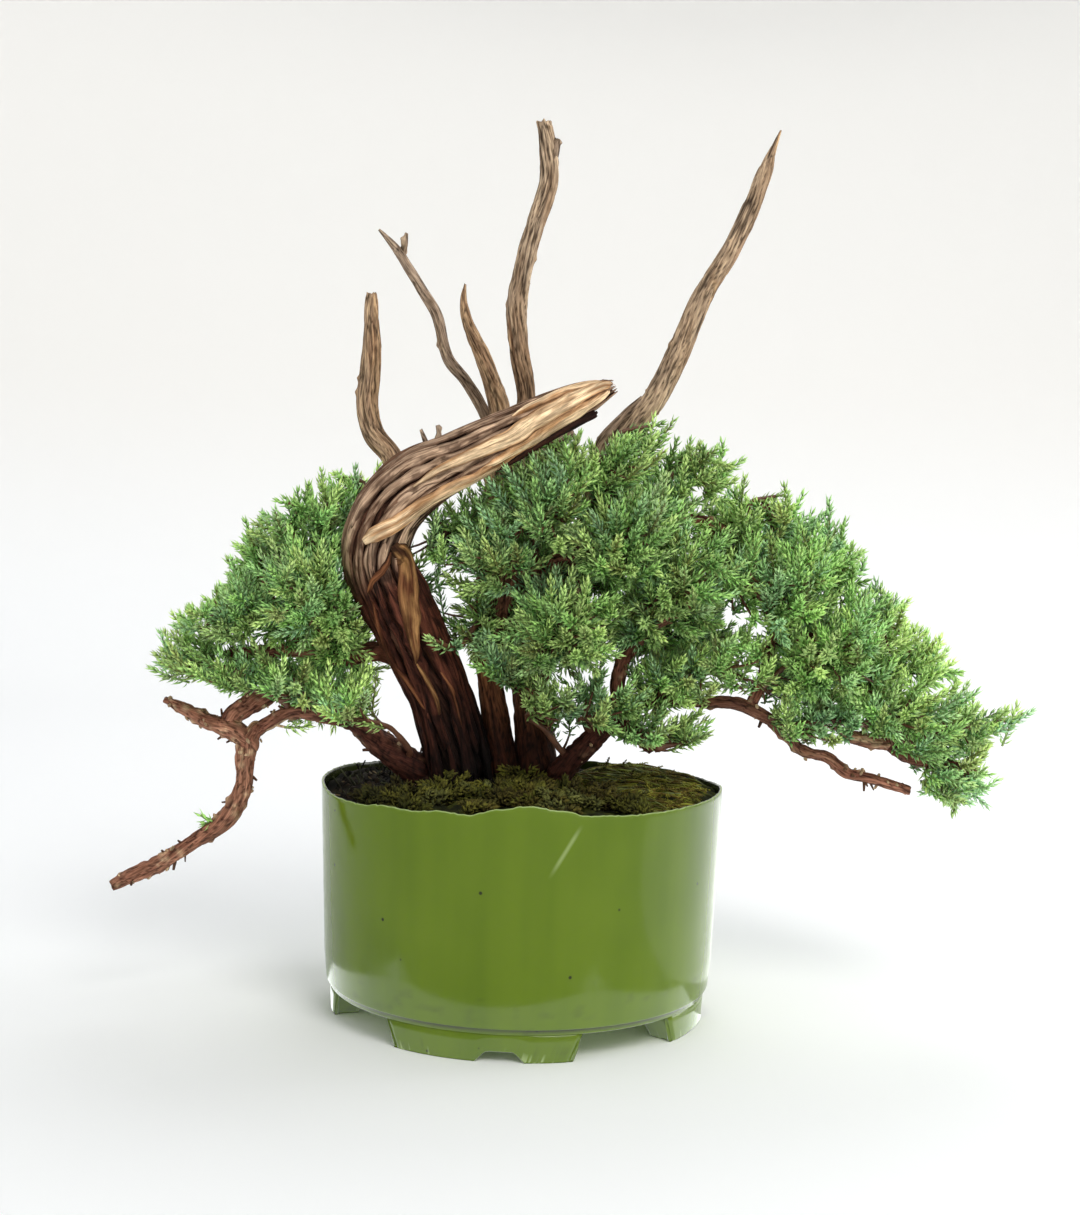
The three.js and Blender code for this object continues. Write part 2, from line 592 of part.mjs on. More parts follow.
// A direction that leans off an axis by some degrees, towards an angle round it.
function leaning(along, angle, lean) {
  const side = new THREE.Vector3(0, 0, 1).cross(along);
  if (side.lengthSq() < 1e-4) side.set(1, 0, 0);
  side.normalize().applyAxisAngle(along, angle);
  return along.clone().multiplyScalar(Math.cos(lean * DEGREE)).addScaledVector(side, Math.sin(lean * DEGREE));
}

// A side shoot's place and direction: the first angle round the twig that is clear.
function clearShoot(from, along, startAngle, random) {
  for (let attempt = 0; attempt < SPRAY.shootTries; attempt++) {
    const direction = leaning(along, startAngle + attempt * SPRAY.angleStep, SPRAY.shootLean);
    direction.z += SPRAY.lift;
    direction.normalize();
    const length = SPRAY.shootLength * (SPRAY.shortest + SPRAY.lengthRange * random());
    const shoot = { a: from, b: from.clone().addScaledVector(direction, length), radius: SPRAY.shootRadius };
    if (isClear(shoot, 3 * CLEAR)) return { shoot, turn: pointing(direction, 6 * random()) };
  }
  return null;
}

function spray(tipPoint, seed) {
  const random = randomFrom(SEED.first + SEED.step * seed);
  const tip = new THREE.Vector3(...tipPoint);
  const lead = tip.clone().sub(PLANT_HEART).setZ(0).normalize();
  lead.setZ(SPRAY.lift).normalize();
  const { rings, parts } = clearTwig(tip, lead, random);
  const fresh = [...parts];
  const twigEnd = rings[3];
  const leader = { a: twigEnd.centre, b: tip };
  const leaderLeaves = needles(leader, twigEnd.turn, SPRAY.twigSides, SPRAY.leadLeaves, fresh);
  const solids = [bar(rings, SPRAY.twigSides), ...leaderLeaves];
  const twigPoints = rings.slice(0, 4).map(({ centre }) => centre);
  const twig = new THREE.CatmullRomCurve3(twigPoints, false, 'centripetal');
  const leafy = Math.min(SPRAY.leafyMost, SPRAY.leafy / twig.getLength());
  for (let i = 0; i < SPRAY.shoots; i++) {
    const at = 1 - leafy * (i / (SPRAY.shoots - 1));
    const startAngle = i * SPRAY.angleBetween + seed;
    const found = clearShoot(twig.getPointAt(at), twig.getTangentAt(at), startAngle, random);
    if (!found) continue;
    const leaves = needles(found.shoot, found.turn, SPRAY.shootSides, SPRAY.sideLeaves, fresh);
    solids.push(shootCore(found.shoot, found.turn), ...leaves);
    fresh.push(found.shoot);
  }
  taken.push(...fresh);
  return joined(solids);
}

// ---- materials and assembly ----
const plastic = () => new THREE.MeshStandardMaterial({ color: 0x6f8c2e, roughness: 0.3, metalness: 0 });
const earth = () => new THREE.MeshStandardMaterial({ color: 0x1d1812, roughness: 0.95, metalness: 0 });
const mossGreen = () => new THREE.MeshStandardMaterial({ color: 0x565a1f, roughness: 0.95, metalness: 0 });
const bark = () => new THREE.MeshStandardMaterial({ color: 0x6b4a35, roughness: 0.85, metalness: 0 });
const needleGreen = () => new THREE.MeshStandardMaterial({ color: 0x5b8a5a, roughness: 0.65, metalness: 0 });

const plant = new THREE.Group();

function place(name, solid, material) {
  const mesh = new THREE.Mesh(toGeometry(solid), material);
  mesh.name = name;
  plant.add(mesh);
}

place('pot', pot(), plastic());
place('soil', soil(), earth());
place('moss_front', moss(MOSS_FRONT), mossGreen());
place('moss_right', moss(MOSS_RIGHT), mossGreen());
place('woody_plant', wood(), bark());
SPRAY_TIPS.forEach((tip, i) => {
  place(`spray_${String(i + 1).padStart(2, '0')}`, spray(tip, i), needleGreen());
});

const box = new THREE.Box3().setFromObject(plant);
const middle = box.getCenter(new THREE.Vector3());
plant.children.forEach((mesh) => mesh.geometry.translate(-middle.x, -middle.y, -box.min.z));

export default plant;
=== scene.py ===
import bpy
import numpy as np
from mathutils import Matrix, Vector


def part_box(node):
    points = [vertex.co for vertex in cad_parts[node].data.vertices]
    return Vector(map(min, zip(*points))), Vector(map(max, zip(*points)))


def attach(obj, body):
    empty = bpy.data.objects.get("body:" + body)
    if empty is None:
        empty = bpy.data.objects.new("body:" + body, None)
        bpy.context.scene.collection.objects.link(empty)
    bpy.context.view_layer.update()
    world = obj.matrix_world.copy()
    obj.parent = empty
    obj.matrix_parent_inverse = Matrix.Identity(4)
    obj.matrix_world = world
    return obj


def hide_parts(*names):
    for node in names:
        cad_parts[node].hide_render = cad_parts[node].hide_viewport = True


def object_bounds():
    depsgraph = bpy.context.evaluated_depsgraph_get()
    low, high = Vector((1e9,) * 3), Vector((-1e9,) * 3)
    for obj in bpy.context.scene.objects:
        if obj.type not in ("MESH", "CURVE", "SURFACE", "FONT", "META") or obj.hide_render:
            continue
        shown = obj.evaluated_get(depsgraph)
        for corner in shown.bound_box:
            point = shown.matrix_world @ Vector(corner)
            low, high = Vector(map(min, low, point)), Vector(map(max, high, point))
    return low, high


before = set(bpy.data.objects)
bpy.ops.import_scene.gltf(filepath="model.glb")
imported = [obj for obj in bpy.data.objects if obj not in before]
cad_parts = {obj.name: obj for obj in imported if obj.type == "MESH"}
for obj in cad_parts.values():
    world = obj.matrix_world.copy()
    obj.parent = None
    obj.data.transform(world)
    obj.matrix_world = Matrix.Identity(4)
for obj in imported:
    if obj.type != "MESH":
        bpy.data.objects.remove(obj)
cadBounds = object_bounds()
scene = bpy.context.scene
scene.view_settings.view_transform = "Standard"

mm = 0.001
fullTurn = 2 * np.pi
up = np.array([0, 0, 1.0])
potLow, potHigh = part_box("pot")
potAxis = np.array([(potLow.x + potHigh.x) / 2, (potLow.y + potHigh.y) / 2, 0.0])  # metres
highBound = np.array(cadBounds[1]) / mm - potAxis / mm
print("frame loaded")


def addObject(name, data):
    # Makes an object and puts it in the scene.
    made = bpy.data.objects.new(name, data)
    scene.collection.objects.link(made)
    return made


def turnedTo(side, top, back, place):
    # Stands an object at a place, in metres, with its own three directions turned to those given.
    turned = np.eye(4)
    turned[:3] = np.stack([side, top, back, place], 1)
    return Matrix(turned.tolist())


# The camera, where the photo was taken from.
photo = {
    "width": 1080, "height": 1215, "focal": 1759.0, "eye": [8.5, -1129.6, 337.8], "dip": 3.95, "roll": 1.54,
    "sensor": 36, "furthest": 50,
}
eye = np.array(photo["eye"])


def makeCamera():
    # Looks along +Y dipped by a few degrees, then turned about its own line of sight.
    dip, roll = np.radians([photo["dip"], photo["roll"]])
    ahead = np.array([0, np.cos(dip), -np.sin(dip)])
    level = np.array([1.0, 0, 0])
    above = np.array([0, np.sin(dip), np.cos(dip)])
    side = level * np.cos(roll) + above * np.sin(roll)
    top = above * np.cos(roll) - level * np.sin(roll)
    data = bpy.data.cameras.new("camera")
    data.sensor_width = photo["sensor"]
    data.lens = photo["focal"] * data.sensor_width / max(photo["width"], photo["height"])
    data.clip_end = photo["furthest"]
    camera = addObject("camera", data)
    camera.matrix_world = turnedTo(side, top, -ahead, eye * mm + potAxis)
    scene.camera = camera


def seenFromFront(points):
    # Where the camera sees a point, on the upright plane through the pot's axis: x and z.
    share = -eye[1] / (points[..., 1] - eye[1])
    return eye[[0, 2]] + (points[..., [0, 2]] - eye[[0, 2]]) * share[..., None]


def atDepth(plane, depth):
    # The other way round: the point at a depth that the camera sees at a place on that plane.
    share = (depth - eye[1]) / -eye[1]
    sides = eye[[0, 2]] + (plane - eye[[0, 2]]) * share[:, None]
    return np.stack([sides[:, 0], depth, sides[:, 1]], 1)


makeCamera()


# Shared by all the pieces: the noise's random values, and how finely a spline is walked.
lattice = {
    "values": np.random.default_rng(11).random(4096), "primes": [73856093, 19349663, 83492791],
    "seedPrime": 7919,
}
spline = {"steps": 24, "fewest": 3}


def noise(points, seed=0):
    # A fixed random value at each whole-number corner, blended smoothly between the eight corners
    # round a point: 0 to 1.
    cell = np.floor(points).astype(np.int64)
    part = points - cell
    part = part * part * (3 - 2 * part)
    total = np.zeros(points.shape[:-1])
    for corner in range(8):
        step = np.array([corner & 1, corner >> 1 & 1, corner >> 2])
        key = seed * lattice["seedPrime"]
        for axis, prime in enumerate(lattice["primes"]):
            key = key ^ ((cell + step)[..., axis] * prime)
        key = (key ^ (key >> 13)) & (len(lattice["values"]) - 1)
        total += np.prod(np.where(step, part, 1 - part), axis=-1) * lattice["values"][key]
    return total


def layered(points, seed=0, layers=3):
    # Each layer of noise is half the size and half the height of the one before: 0 to 1.
    parts = [noise(points * 2 ** i + 17.3 * i, seed + i) / 2 ** i for i in range(layers)]
    return sum(parts) / (2 - 2 ** (1 - layers))


def smoothStep(low, high, value):
    # 0 up to the low value and 1 from the high one, with 3 s^2 - 2 s^3 between them.
    share = np.clip((value - low) / (high - low), 0, 1)
    return share * share * (3 - 2 * share)


def blend(one, two, share):
    # From one colour to the other by the share.
    return one + (two - one) * np.asarray(share)[..., None]


def colour(code):
    # A screen colour such as "6b4a35" as linear light.
    values = np.array([int(code[i:i + 2], 16) for i in (0, 2, 4)]) / 255
    return np.where(values < 0.04045, values / 12.92, ((values + 0.055) / 1.055) ** 2.4)


def unit(vectors):
    # The same directions, each with a length of 1.
    return vectors / np.maximum(np.linalg.norm(vectors, axis=-1, keepdims=True), 1e-9)


def stacked(*parts):
    # Coordinates, each worked out on its own, as one array of points.
    return np.stack(np.broadcast_arrays(*parts), -1)


def polar(azimuth, radius, z):
    # The azimuth runs from the front round by the right.
    return stacked(radius * np.sin(azimuth), -radius * np.cos(azimuth), z)


def aroundCircle(count):
    # Evenly spaced angles of a full turn.
    return np.linspace(0, fullTurn, count, endpoint=False)


def turnedAbout(angle, side, other):
    # The directions at an angle about a line, between two directions square to it.
    return np.cos(angle)[..., None] * side + np.sin(angle)[..., None] * other


def reachAlong(points):
    # How far along a line each of its points is.
    return np.concatenate([[0], np.cumsum(np.linalg.norm(np.diff(points, axis=0), axis=1))])


def curveAt(start, middle, end, share):
    # A quadratic curve from start to end, drawn towards the middle point.
    return (1 - share) ** 2 * start + 2 * share * (1 - share) * middle + share ** 2 * end


def smoothLine(line, spacing):
    # A centripetal spline through the points, walked in even steps; the fourth number is the radius.
    knots = np.array(line, float)
    points = np.vstack([2 * knots[0, :3] - knots[1, :3], knots[:, :3], 2 * knots[-1, :3] - knots[-2, :3]])
    share = np.linspace(0, 1, spline["steps"], endpoint=False)[:, None]
    walk = []
    for i in range(len(knots) - 1):
        before, here, there, after = points[i:i + 4]
        pairs = ((before, here), (here, there), (there, after))
        d0, d1, d2 = (np.linalg.norm(b - a) ** 0.5 for a, b in pairs)
        leave = ((here - before) / d0 - (there - before) / (d0 + d1) + (there - here) / d1) * d1
        arrive = ((there - here) / d1 - (after - here) / (d1 + d2) + (after - there) / d2) * d1
        walk.append(here + leave * share + (3 * (there - here) - 2 * leave - arrive) * share ** 2
                    + (2 * (here - there) + leave + arrive) * share ** 3)
    walk = np.vstack(walk + [knots[-1:, :3]])
    knotPlace = np.arange(len(walk)) / spline["steps"]
    reach = reachAlong(walk)
    steps = np.linspace(0, reach[-1], max(spline["fewest"], int(round(reach[-1] / spacing)) + 1))
    path = np.stack([np.interp(steps, reach, walk[:, k]) for k in range(3)], 1)
    radius = np.interp(np.interp(steps, reach, knotPlace), np.arange(len(knots)), knots[:, 3])
    return path, radius, steps


def carriedFrames(path):
    # The path's direction, and two directions square to it that turn as little as they can.
    along = unit(np.gradient(path, axis=0))
    carried = np.array([1.0, 0, 0]) if abs(along[0, 0]) < 0.9 else up
    side = np.zeros_like(path)
    for i in range(len(path)):
        carried = side[i] = unit(carried - along[i] * (carried @ along[i]))
    return along, side, np.cross(along, side)


def gridFaces(rows, columns):
    # Four-sided faces between neighbouring rows and columns; the columns run round.
    row = np.arange(rows - 1)[:, None] * columns
    column = np.arange(columns)[None, :]
    ahead = (column + 1) % columns
    above = row + columns
    return np.stack([row + column, row + ahead, above + ahead, above + column], -1).reshape(-1, 4)


def capped(points, values, rows, columns):
    # A tube from rings of points, closed by a fan to a middle point at each end.
    flat = rows * columns
    ring = np.arange(columns)
    ahead = (ring + 1) % columns
    last = flat - columns
    fans = np.vstack([
        np.stack([np.full(columns, flat), ahead, ring], 1),
        np.stack([np.full(columns, flat + 1), last + ring, last + ahead], 1),
    ])

    def closed(array):
        # The rings one after another, then the mean of the first ring and of the last.
        table = array.reshape(rows, columns, -1)
        return np.vstack([table.reshape(flat, -1), table[0].mean(0)[None], table[-1].mean(0)[None]])

    faces = [gridFaces(rows, columns), fans]
    return closed(points), faces, {key: closed(array) for key, array in values.items()}


def joinParts(parts):
    # Several parts as one: their points follow on, and their face numbers move along with them.
    starts = np.concatenate([[0], np.cumsum([len(points) for points, _, _ in parts])])
    faces = [part + start for (_, group, _), start in zip(parts, starts) for part in group]
    values = {key: np.vstack([value[key] for _, _, value in parts]) for key in parts[0][2]}
    return np.vstack([points for points, _, _ in parts]), faces, values


def makePiece(name, part, material, nodes):
    # Writes the points, faces and point values into a mesh, and ties it to the part's frame.
    points, faces, values = part
    mesh = bpy.data.meshes.new(name)
    place = (points * mm + potAxis).astype(np.float32)
    corners = np.concatenate([group.ravel() for group in faces]).astype(np.int32)
    sizes = np.concatenate([np.full(len(group), group.shape[1]) for group in faces])
    starts = np.concatenate([[0], np.cumsum(sizes)[:-1]]).astype(np.int32)
    mesh.vertices.add(len(place))
    mesh.vertices.foreach_set("co", place.ravel())
    mesh.loops.add(len(corners))
    mesh.loops.foreach_set("vertex_index", corners)
    mesh.polygons.add(len(sizes))
    mesh.polygons.foreach_set("loop_start", starts)
    mesh.update(calc_edges=True)
    mesh.validate()
    for key, array in values.items():
        kind, field = ("FLOAT", "value") if array.shape[1] == 1 else ("FLOAT_VECTOR", "vector")
        if key == "tint":
            kind, field = "FLOAT_COLOR", "color"
            array = np.hstack([array, np.ones((len(array), 1))])
        layer = mesh.attributes.new(key, kind, "POINT")
        layer.data.foreach_set(field, array.astype(np.float32).ravel())
    mesh.shade_smooth()
    mesh.materials.append(material)
    piece = addObject(name, mesh)
    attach(piece, "root")
    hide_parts(*nodes)
    return piece


# The materials read the values that each piece stores for its points.
class Shader:
    # A small helper that adds nodes and joins their sockets.
    def __init__(self, name):
        self.material = bpy.data.materials.new(name)
        self.material.use_nodes = True
        self.nodes = self.material.node_tree.nodes
        self.links = self.material.node_tree.links
        self.surface = self.nodes["Principled BSDF"]

    def add(self, kind, inputs=(), **settings):
        # The inputs are pairs: a socket's name or number, and what goes into it.
        node = self.nodes.new(kind)
        for key, value in settings.items():
            setattr(node, key, value)
        for key, value in inputs:
            self.put(node.inputs[key], value)
        return node

    def put(self, socket, value):
        # Joins a node's output to a socket, or sets the socket to a value.
        if isinstance(value, bpy.types.NodeSocket):
            self.links.new(value, socket)
        elif socket.type == "RGBA":
            socket.default_value = (*value, 1.0)
        else:
            socket.default_value = value

    def dress(self, tint, roughness, specular):
        # The surface's colour, its roughness and how strongly it reflects.
        for key, value in (("Base Color", tint), ("Roughness", roughness), ("Specular IOR Level", specular)):
            self.put(self.surface.inputs[key], value)

    def place(self):
        # A point's place on the object, in metres.
        return self.add("ShaderNodeTexCoord").outputs["Object"]

    def value(self, name, output):
        # A value stored for each point of the mesh.
        return self.add("ShaderNodeAttribute", attribute_name=name).outputs[output]

    def noise(self, vector, scale, detail=3.0, stretch=(1, 1, 1), roughness=0.5):
        # Soft noise from 0 to 1, with a scale of its own along each axis.
        mapping = self.add("ShaderNodeMapping", (("Vector", vector), ("Scale", stretch)))
        return self.add("ShaderNodeTexNoise", (("Vector", mapping.outputs["Vector"]), ("Scale", scale),
                                               ("Detail", detail), ("Roughness", roughness))).outputs["Fac"]

    def ramp(self, value, low, high, bottom=0.0, top=1.0):
        # A smooth S curve from bottom to top, as the value goes from low to high.
        ends = (("Value", value), ("From Min", low), ("From Max", high), ("To Min", bottom), ("To Max", top))
        return self.add("ShaderNodeMapRange", ends, interpolation_type="SMOOTHSTEP").outputs["Result"]

    def mix(self, share, one, two, kind="MIX"):
        # From one colour to the other by the share.
        node = self.add("ShaderNodeMix", data_type="RGBA", blend_type=kind)
        for number, value in ((0, share), (6, one), (7, two)):
            self.put(node.inputs[number], value)
        return node.outputs[2]

    def times(self, tint, factors):
        # A tint with each of its channels multiplied by a factor.
        return self.mix(1.0, tint, factors, "MULTIPLY")

    def sum(self, kind, *values):
        # A sum or product of single numbers.
        return self.add("ShaderNodeMath", enumerate(values), operation=kind).outputs["Value"]

    def vectors(self, kind, one, two, output):
        # The same for two vectors.
        return self.add("ShaderNodeVectorMath", ((0, one), (1, two)), operation=kind).outputs[output]

    def bump(self, height, strength, distance):
        # Shades the surface as if it were raised by the height.
        inputs = (("Height", height), ("Strength", strength), ("Distance", distance))
        node = self.add("ShaderNodeBump", inputs)
        self.links.new(node.outputs["Normal"], self.surface.inputs["Normal"])


woodLook = {
    "along": (1, 1, 0.07), "blotches": 0.22, "plates": 0.42, "dark": (0.52, 0.47, 0.43),
    "light": (1.32, 1.28, 1.22), "gap": (0.5, 0.46, 0.43), "smoother": 0.14, "specular": 0.18,
    "plateHeight": 1.6, "deep": 0.0007,
}


def woodMaterial(name, fibreScale, rough, bumpStrength):
    # The tint worked out for each point, streaked along the grain by stretched noise, and darker
    # in the gaps between plates of bark.
    shader = Shader(name)
    grain = shader.value("grain", "Vector")
    fibre = shader.noise(grain, fibreScale, 4.0, woodLook["along"], 0.6)
    blotch = shader.noise(grain, fibreScale * woodLook["blotches"], 2.0, (1, 1, 0.3))
    plates = shader.noise(grain, fibreScale * woodLook["plates"], 3.0, (1, 1, 0.16), 0.65)
    plates = shader.ramp(plates, 0.36, 0.6)
    tint = shader.value("tint", "Color")
    darker, lighter = (shader.times(tint, woodLook[key]) for key in ("dark", "light"))
    streaked = shader.mix(shader.ramp(fibre, 0.34, 0.66), darker, lighter)
    streaked = shader.mix(plates, shader.times(streaked, woodLook["gap"]), streaked)
    shader.dress(shader.mix(shader.ramp(blotch, 0.3, 0.75, 0.0, 0.35), streaked, tint),
                 shader.ramp(fibre, 0.2, 0.8, rough, rough - woodLook["smoother"]), woodLook["specular"])
    height = shader.sum("MULTIPLY_ADD", plates, woodLook["plateHeight"], fibre)
    shader.bump(height, bumpStrength, woodLook["deep"])
    return shader.material


def needleMaterial():
    # Waxy needles: the tint of each point, bluer in patches, with a soft sheen.
    shader = Shader("juniperNeedles")
    patch = shader.noise(shader.place(), 90.0, 2.0)
    tint = shader.value("tint", "Color")
    tint = shader.mix(shader.ramp(patch, 0.35, 0.7, 0.0, 0.4), tint, shader.times(tint, (0.8, 0.92, 1.0)))
    shader.dress(tint, shader.ramp(patch, 0.2, 0.8, 0.4, 0.55), 0.4)
    return shader.material


def earthMaterial(name, rough, strength):
    # Crumbly ground or moss: the tint of each point, broken up by two sizes of noise.
    shader = Shader(name)
    place = shader.place()
    grains = shader.noise(place, 900.0)
    patches = shader.noise(place, 120.0)
    tint = shader.value("tint", "Color")
    broken = shader.mix(shader.ramp(patches, 0.35, 0.65), shader.times(tint, (0.45, 0.45, 0.42)), tint)
    light = shader.times(tint, (1.5, 1.45, 1.35))
    shader.dress(shader.mix(shader.ramp(grains, 0.6, 0.8), broken, light), rough, 0.25)
    shader.bump(grains, strength, 0.0005)
    return shader.material


plastic = {
    "green": "5e750f", "shade": "516908", "cloud": "6c831d", "edge": "a9bd7c", "speck": "1c1f10",
    "pale": "b4c487", "soil": "2a2c17", "speckScale": 62.0, "speckSize": (0.04, 0.085),
    "speckShare": (0.5, 0.52), "scratchFrom": [37, 144], "scratchTo": [17, 110], "scratchWide": 1.9,
    "scratchDepth": 0.05, "scratchPale": 0.42, "rough": (0.1, 0.24), "specular": 0.25,
}


def scratchShare(shader, place):
    # One long pale scratch on the front: strongest on its line, and fading to its ends.
    across, far = (np.array(plastic[key], float) * mm for key in ("scratchFrom", "scratchTo"))
    run = far - across
    span = np.linalg.norm(run)
    way = [run[0] / span, 0, run[1] / span]
    middle = (across[0] + potAxis[0], 0, across[1])
    shifted = shader.vectors("SUBTRACT", place, middle, "Vector")
    reach, gap, front = (shader.vectors("DOT_PRODUCT", shifted, toward, "Value")
                         for toward in (way, [-way[2], 0, way[0]], [0, 1, 0]))
    width = plastic["scratchWide"] * mm
    share = shader.ramp(gap, -width, 0)
    parts = (
        shader.ramp(gap, 0, width, 1.0, 0.0), shader.ramp(reach, 0, span * 0.3),
        shader.ramp(reach, span * 0.6, span, 1.0, 0.0),
        shader.ramp(front, -plastic["scratchDepth"], 0, 1.0, 0.0), plastic["scratchPale"],
    )
    for part in parts:
        share = shader.sum("MULTIPLY", share, part)
    return share


def plasticMaterial():
    # Injection-moulded plastic: faint upright streaks, dark specks, a scratch, a soiled bottom and painted
    # shade on the inside of the wall.
    shader = Shader("pottingPlastic")
    place = shader.place()
    streaks = shader.noise(place, 22.0, 3.0, (1, 1, 0.12))
    cloud = shader.noise(place, 9.0, 2.0)
    scuff = shader.noise(place, 260.0, 4.0, (1, 1, 0.4))
    cells = (("Vector", place), ("Scale", plastic["speckScale"]))
    specks = shader.add("ShaderNodeTexVoronoi", cells, feature="F1")
    chosen = shader.add("ShaderNodeSeparateColor", [("Color", specks.outputs["Color"])])
    speck = shader.sum("MULTIPLY", shader.ramp(specks.outputs["Distance"], *plastic["speckSize"], 1.0, 0.0),
                       shader.ramp(chosen.outputs["Red"], *plastic["speckShare"]))
    base = colour(plastic["green"])
    layers = (
        (shader.ramp(streaks, 0.35, 0.7), "shade"), (shader.ramp(cloud, 0.4, 0.8, 0.0, 0.5), "cloud"),
        (speck, "speck"), (shader.value("worn", "Fac"), "edge"), (scratchShare(shader, place), "pale"),
        # the last layer is painted shade on the inside of the wall, and soil low on the outside
        (shader.value("shadeAndSoil", "Fac"), "soil"),
    )
    for share, layer in layers:
        base = shader.mix(share, base, colour(plastic[layer]))
    shader.dress(base, shader.ramp(scuff, 0.3, 0.8, *plastic["rough"]), plastic["specular"])
    shader.bump(cloud, 0.12, 0.004)
    return shader.material


# The pot: a shell with a hand-cut rim, standing on four feet.
pot = {
    "wall": 1.8, "rimRadius": 129.1, "rimHeight": 148.5, "stepRadius": 123.7, "stepHeight": 20.9,
    "roundHeight": 46, "roundRadius": 125.5, "floorTop": 19.6, "columns": 420,
    # from the middle of the underside to the step, and back in over the floor: radius and height
    "under": [[0.5, 17], [60, 17], [110, 17], [120.9, 17], [121.6, 17.2], [121.9, 17.7], [121.9, 20.3],
              [122.3, 20.7], [123.2, 20.7], [123.6, 20.9]],
    "floor": [[119.5, 20.4], [118, 19.7], [60, 19.6], [0.5, 19.6]], "floorCorner": [121.6, 23],
    # the rim's rounded edge: how far in, and how far below the top
    "edge": [[0.0246, 0.7], [0.25, 0.1], [0.9, 0], [1.55, 0.1], [1.8, 0.7]], "rimRough": 0.7,
    # height of the hand-cut rim at azimuths from the front (0) round by the right (90)
    "rimCut": [[-110, 147], [-83, 147], [-64, 144.5], [-50, 144.5], [-38, 147], [-30, 146.4],
               [-21, 148.4], [-14, 147.3], [-5, 151.6], [2, 154], [11, 151.5], [18, 148], [33, 147],
               [60, 147.6], [82, 148], [110, 144.5], [140, 142.5], [185, 142.5], [228, 144.5], [250, 147],
               [250.01, 147]],
}
# Each foot's values at the ground and at its top; its notch is as wide as low and top say.
foot = {
    "at": [-10, 80, 170, 260], "spread": [52.4, 60], "radius": [120.4, 121.3], "depth": [16, 24],
    "wall": 2.2, "height": 18.6, "notchTurn": 6, "notchLow": 14.4, "notchTop": 6.4, "notchHeight": 6.5,
    "sideShare": 0.13, "steps": 261, "cornerCut": 1.2,
    "outside": [[0.45, 0.0], [0.1, 0.35], [0, 1.2], [0, 6], [0, 12], [0, 18.6]],
}
wallSlope = (pot["rimRadius"] - pot["roundRadius"]) / (pot["rimHeight"] - pot["roundHeight"])


def rimHeightAt(azimuth):
    # Cosine steps between the heights measured round the cut edge.
    at, height = np.array(pot["rimCut"]).T
    degrees = (np.degrees(azimuth) - at[0]) % 360 + at[0]
    after = np.clip(np.searchsorted(at, degrees), 1, len(at) - 1)
    share = np.clip((degrees - at[after - 1]) / (at[after] - at[after - 1]), 0, 1)
    return height[after - 1] + (height[after] - height[after - 1]) * (0.5 - 0.5 * np.cos(np.pi * share))


def wallRadius(z):
    # Outside of the wall: straight above the round, and turned in below it to the step.
    share = np.clip((z - pot["stepHeight"]) / (pot["roundHeight"] - pot["stepHeight"]), 0, 1)
    low = pot["stepRadius"] + (pot["roundRadius"] - pot["stepRadius"]) * np.sin(share * np.pi / 2) ** 1.2
    return np.where(z > pot["roundHeight"], pot["roundRadius"] + (z - pot["roundHeight"]) * wallSlope, low)


def potShell():
    # One outline, from the middle of the underside up the outside, over the rim and down the
    # inside, turned round the axis; above the round its heights are scaled to the cut rim.
    rim, bend = pot["rimHeight"], pot["roundHeight"]
    heights = np.concatenate([np.linspace(21.3, bend, 14), np.linspace(bend + 3, 146, 34)])
    edge = [[wallRadius(rim) - inward, rim - drop] for inward, drop in pot["edge"]]
    inside = [[wallRadius(z) - pot["wall"], z] for z in heights[:0:-1]] + [pot["floorCorner"]]
    outline = np.array(pot["under"] + [[wallRadius(z), z] for z in heights] + edge + inside + pot["floor"])
    azimuth = aroundCircle(pot["columns"])[None, :]
    radius, z = outline[:, :1], outline[:, 1:]
    lifted = np.where(z > bend, (z - bend) / (rim - bend) * (rimHeightAt(azimuth) - rim), 0)
    radius = radius + lifted * wallSlope
    rough = noise(stacked(azimuth * 60, z * 0 + 3.1, 0), 5) - 0.5
    height = z + lifted + np.where(z > rim - 1, pot["rimRough"] * rough, 0)
    # worn pale on the cut edge; dark inside the wall as painted shade, and soiled in faint patches low on the
    # outside
    worn = smoothStep(rim - 0.75, rim - 0.3, z) * 0.9 * np.ones_like(height)
    around = stacked(azimuth * 8, z * 0.1, 0)
    deep = (radius < wallRadius(z) - 1) & (z > 19)
    shadeAndSoil = np.where(deep, 0.7 + 0.4 * layered(around, 3), 0).clip(0, 1)
    patches = 0.45 * np.clip(layered(around * 2, 8) * 2 - 1.15, 0, 1) * (z < 40)
    values = {"worn": worn, "shadeAndSoil": np.maximum(shadeAndSoil, patches)}
    return capped(polar(azimuth, radius, height), values, len(outline), pot["columns"])


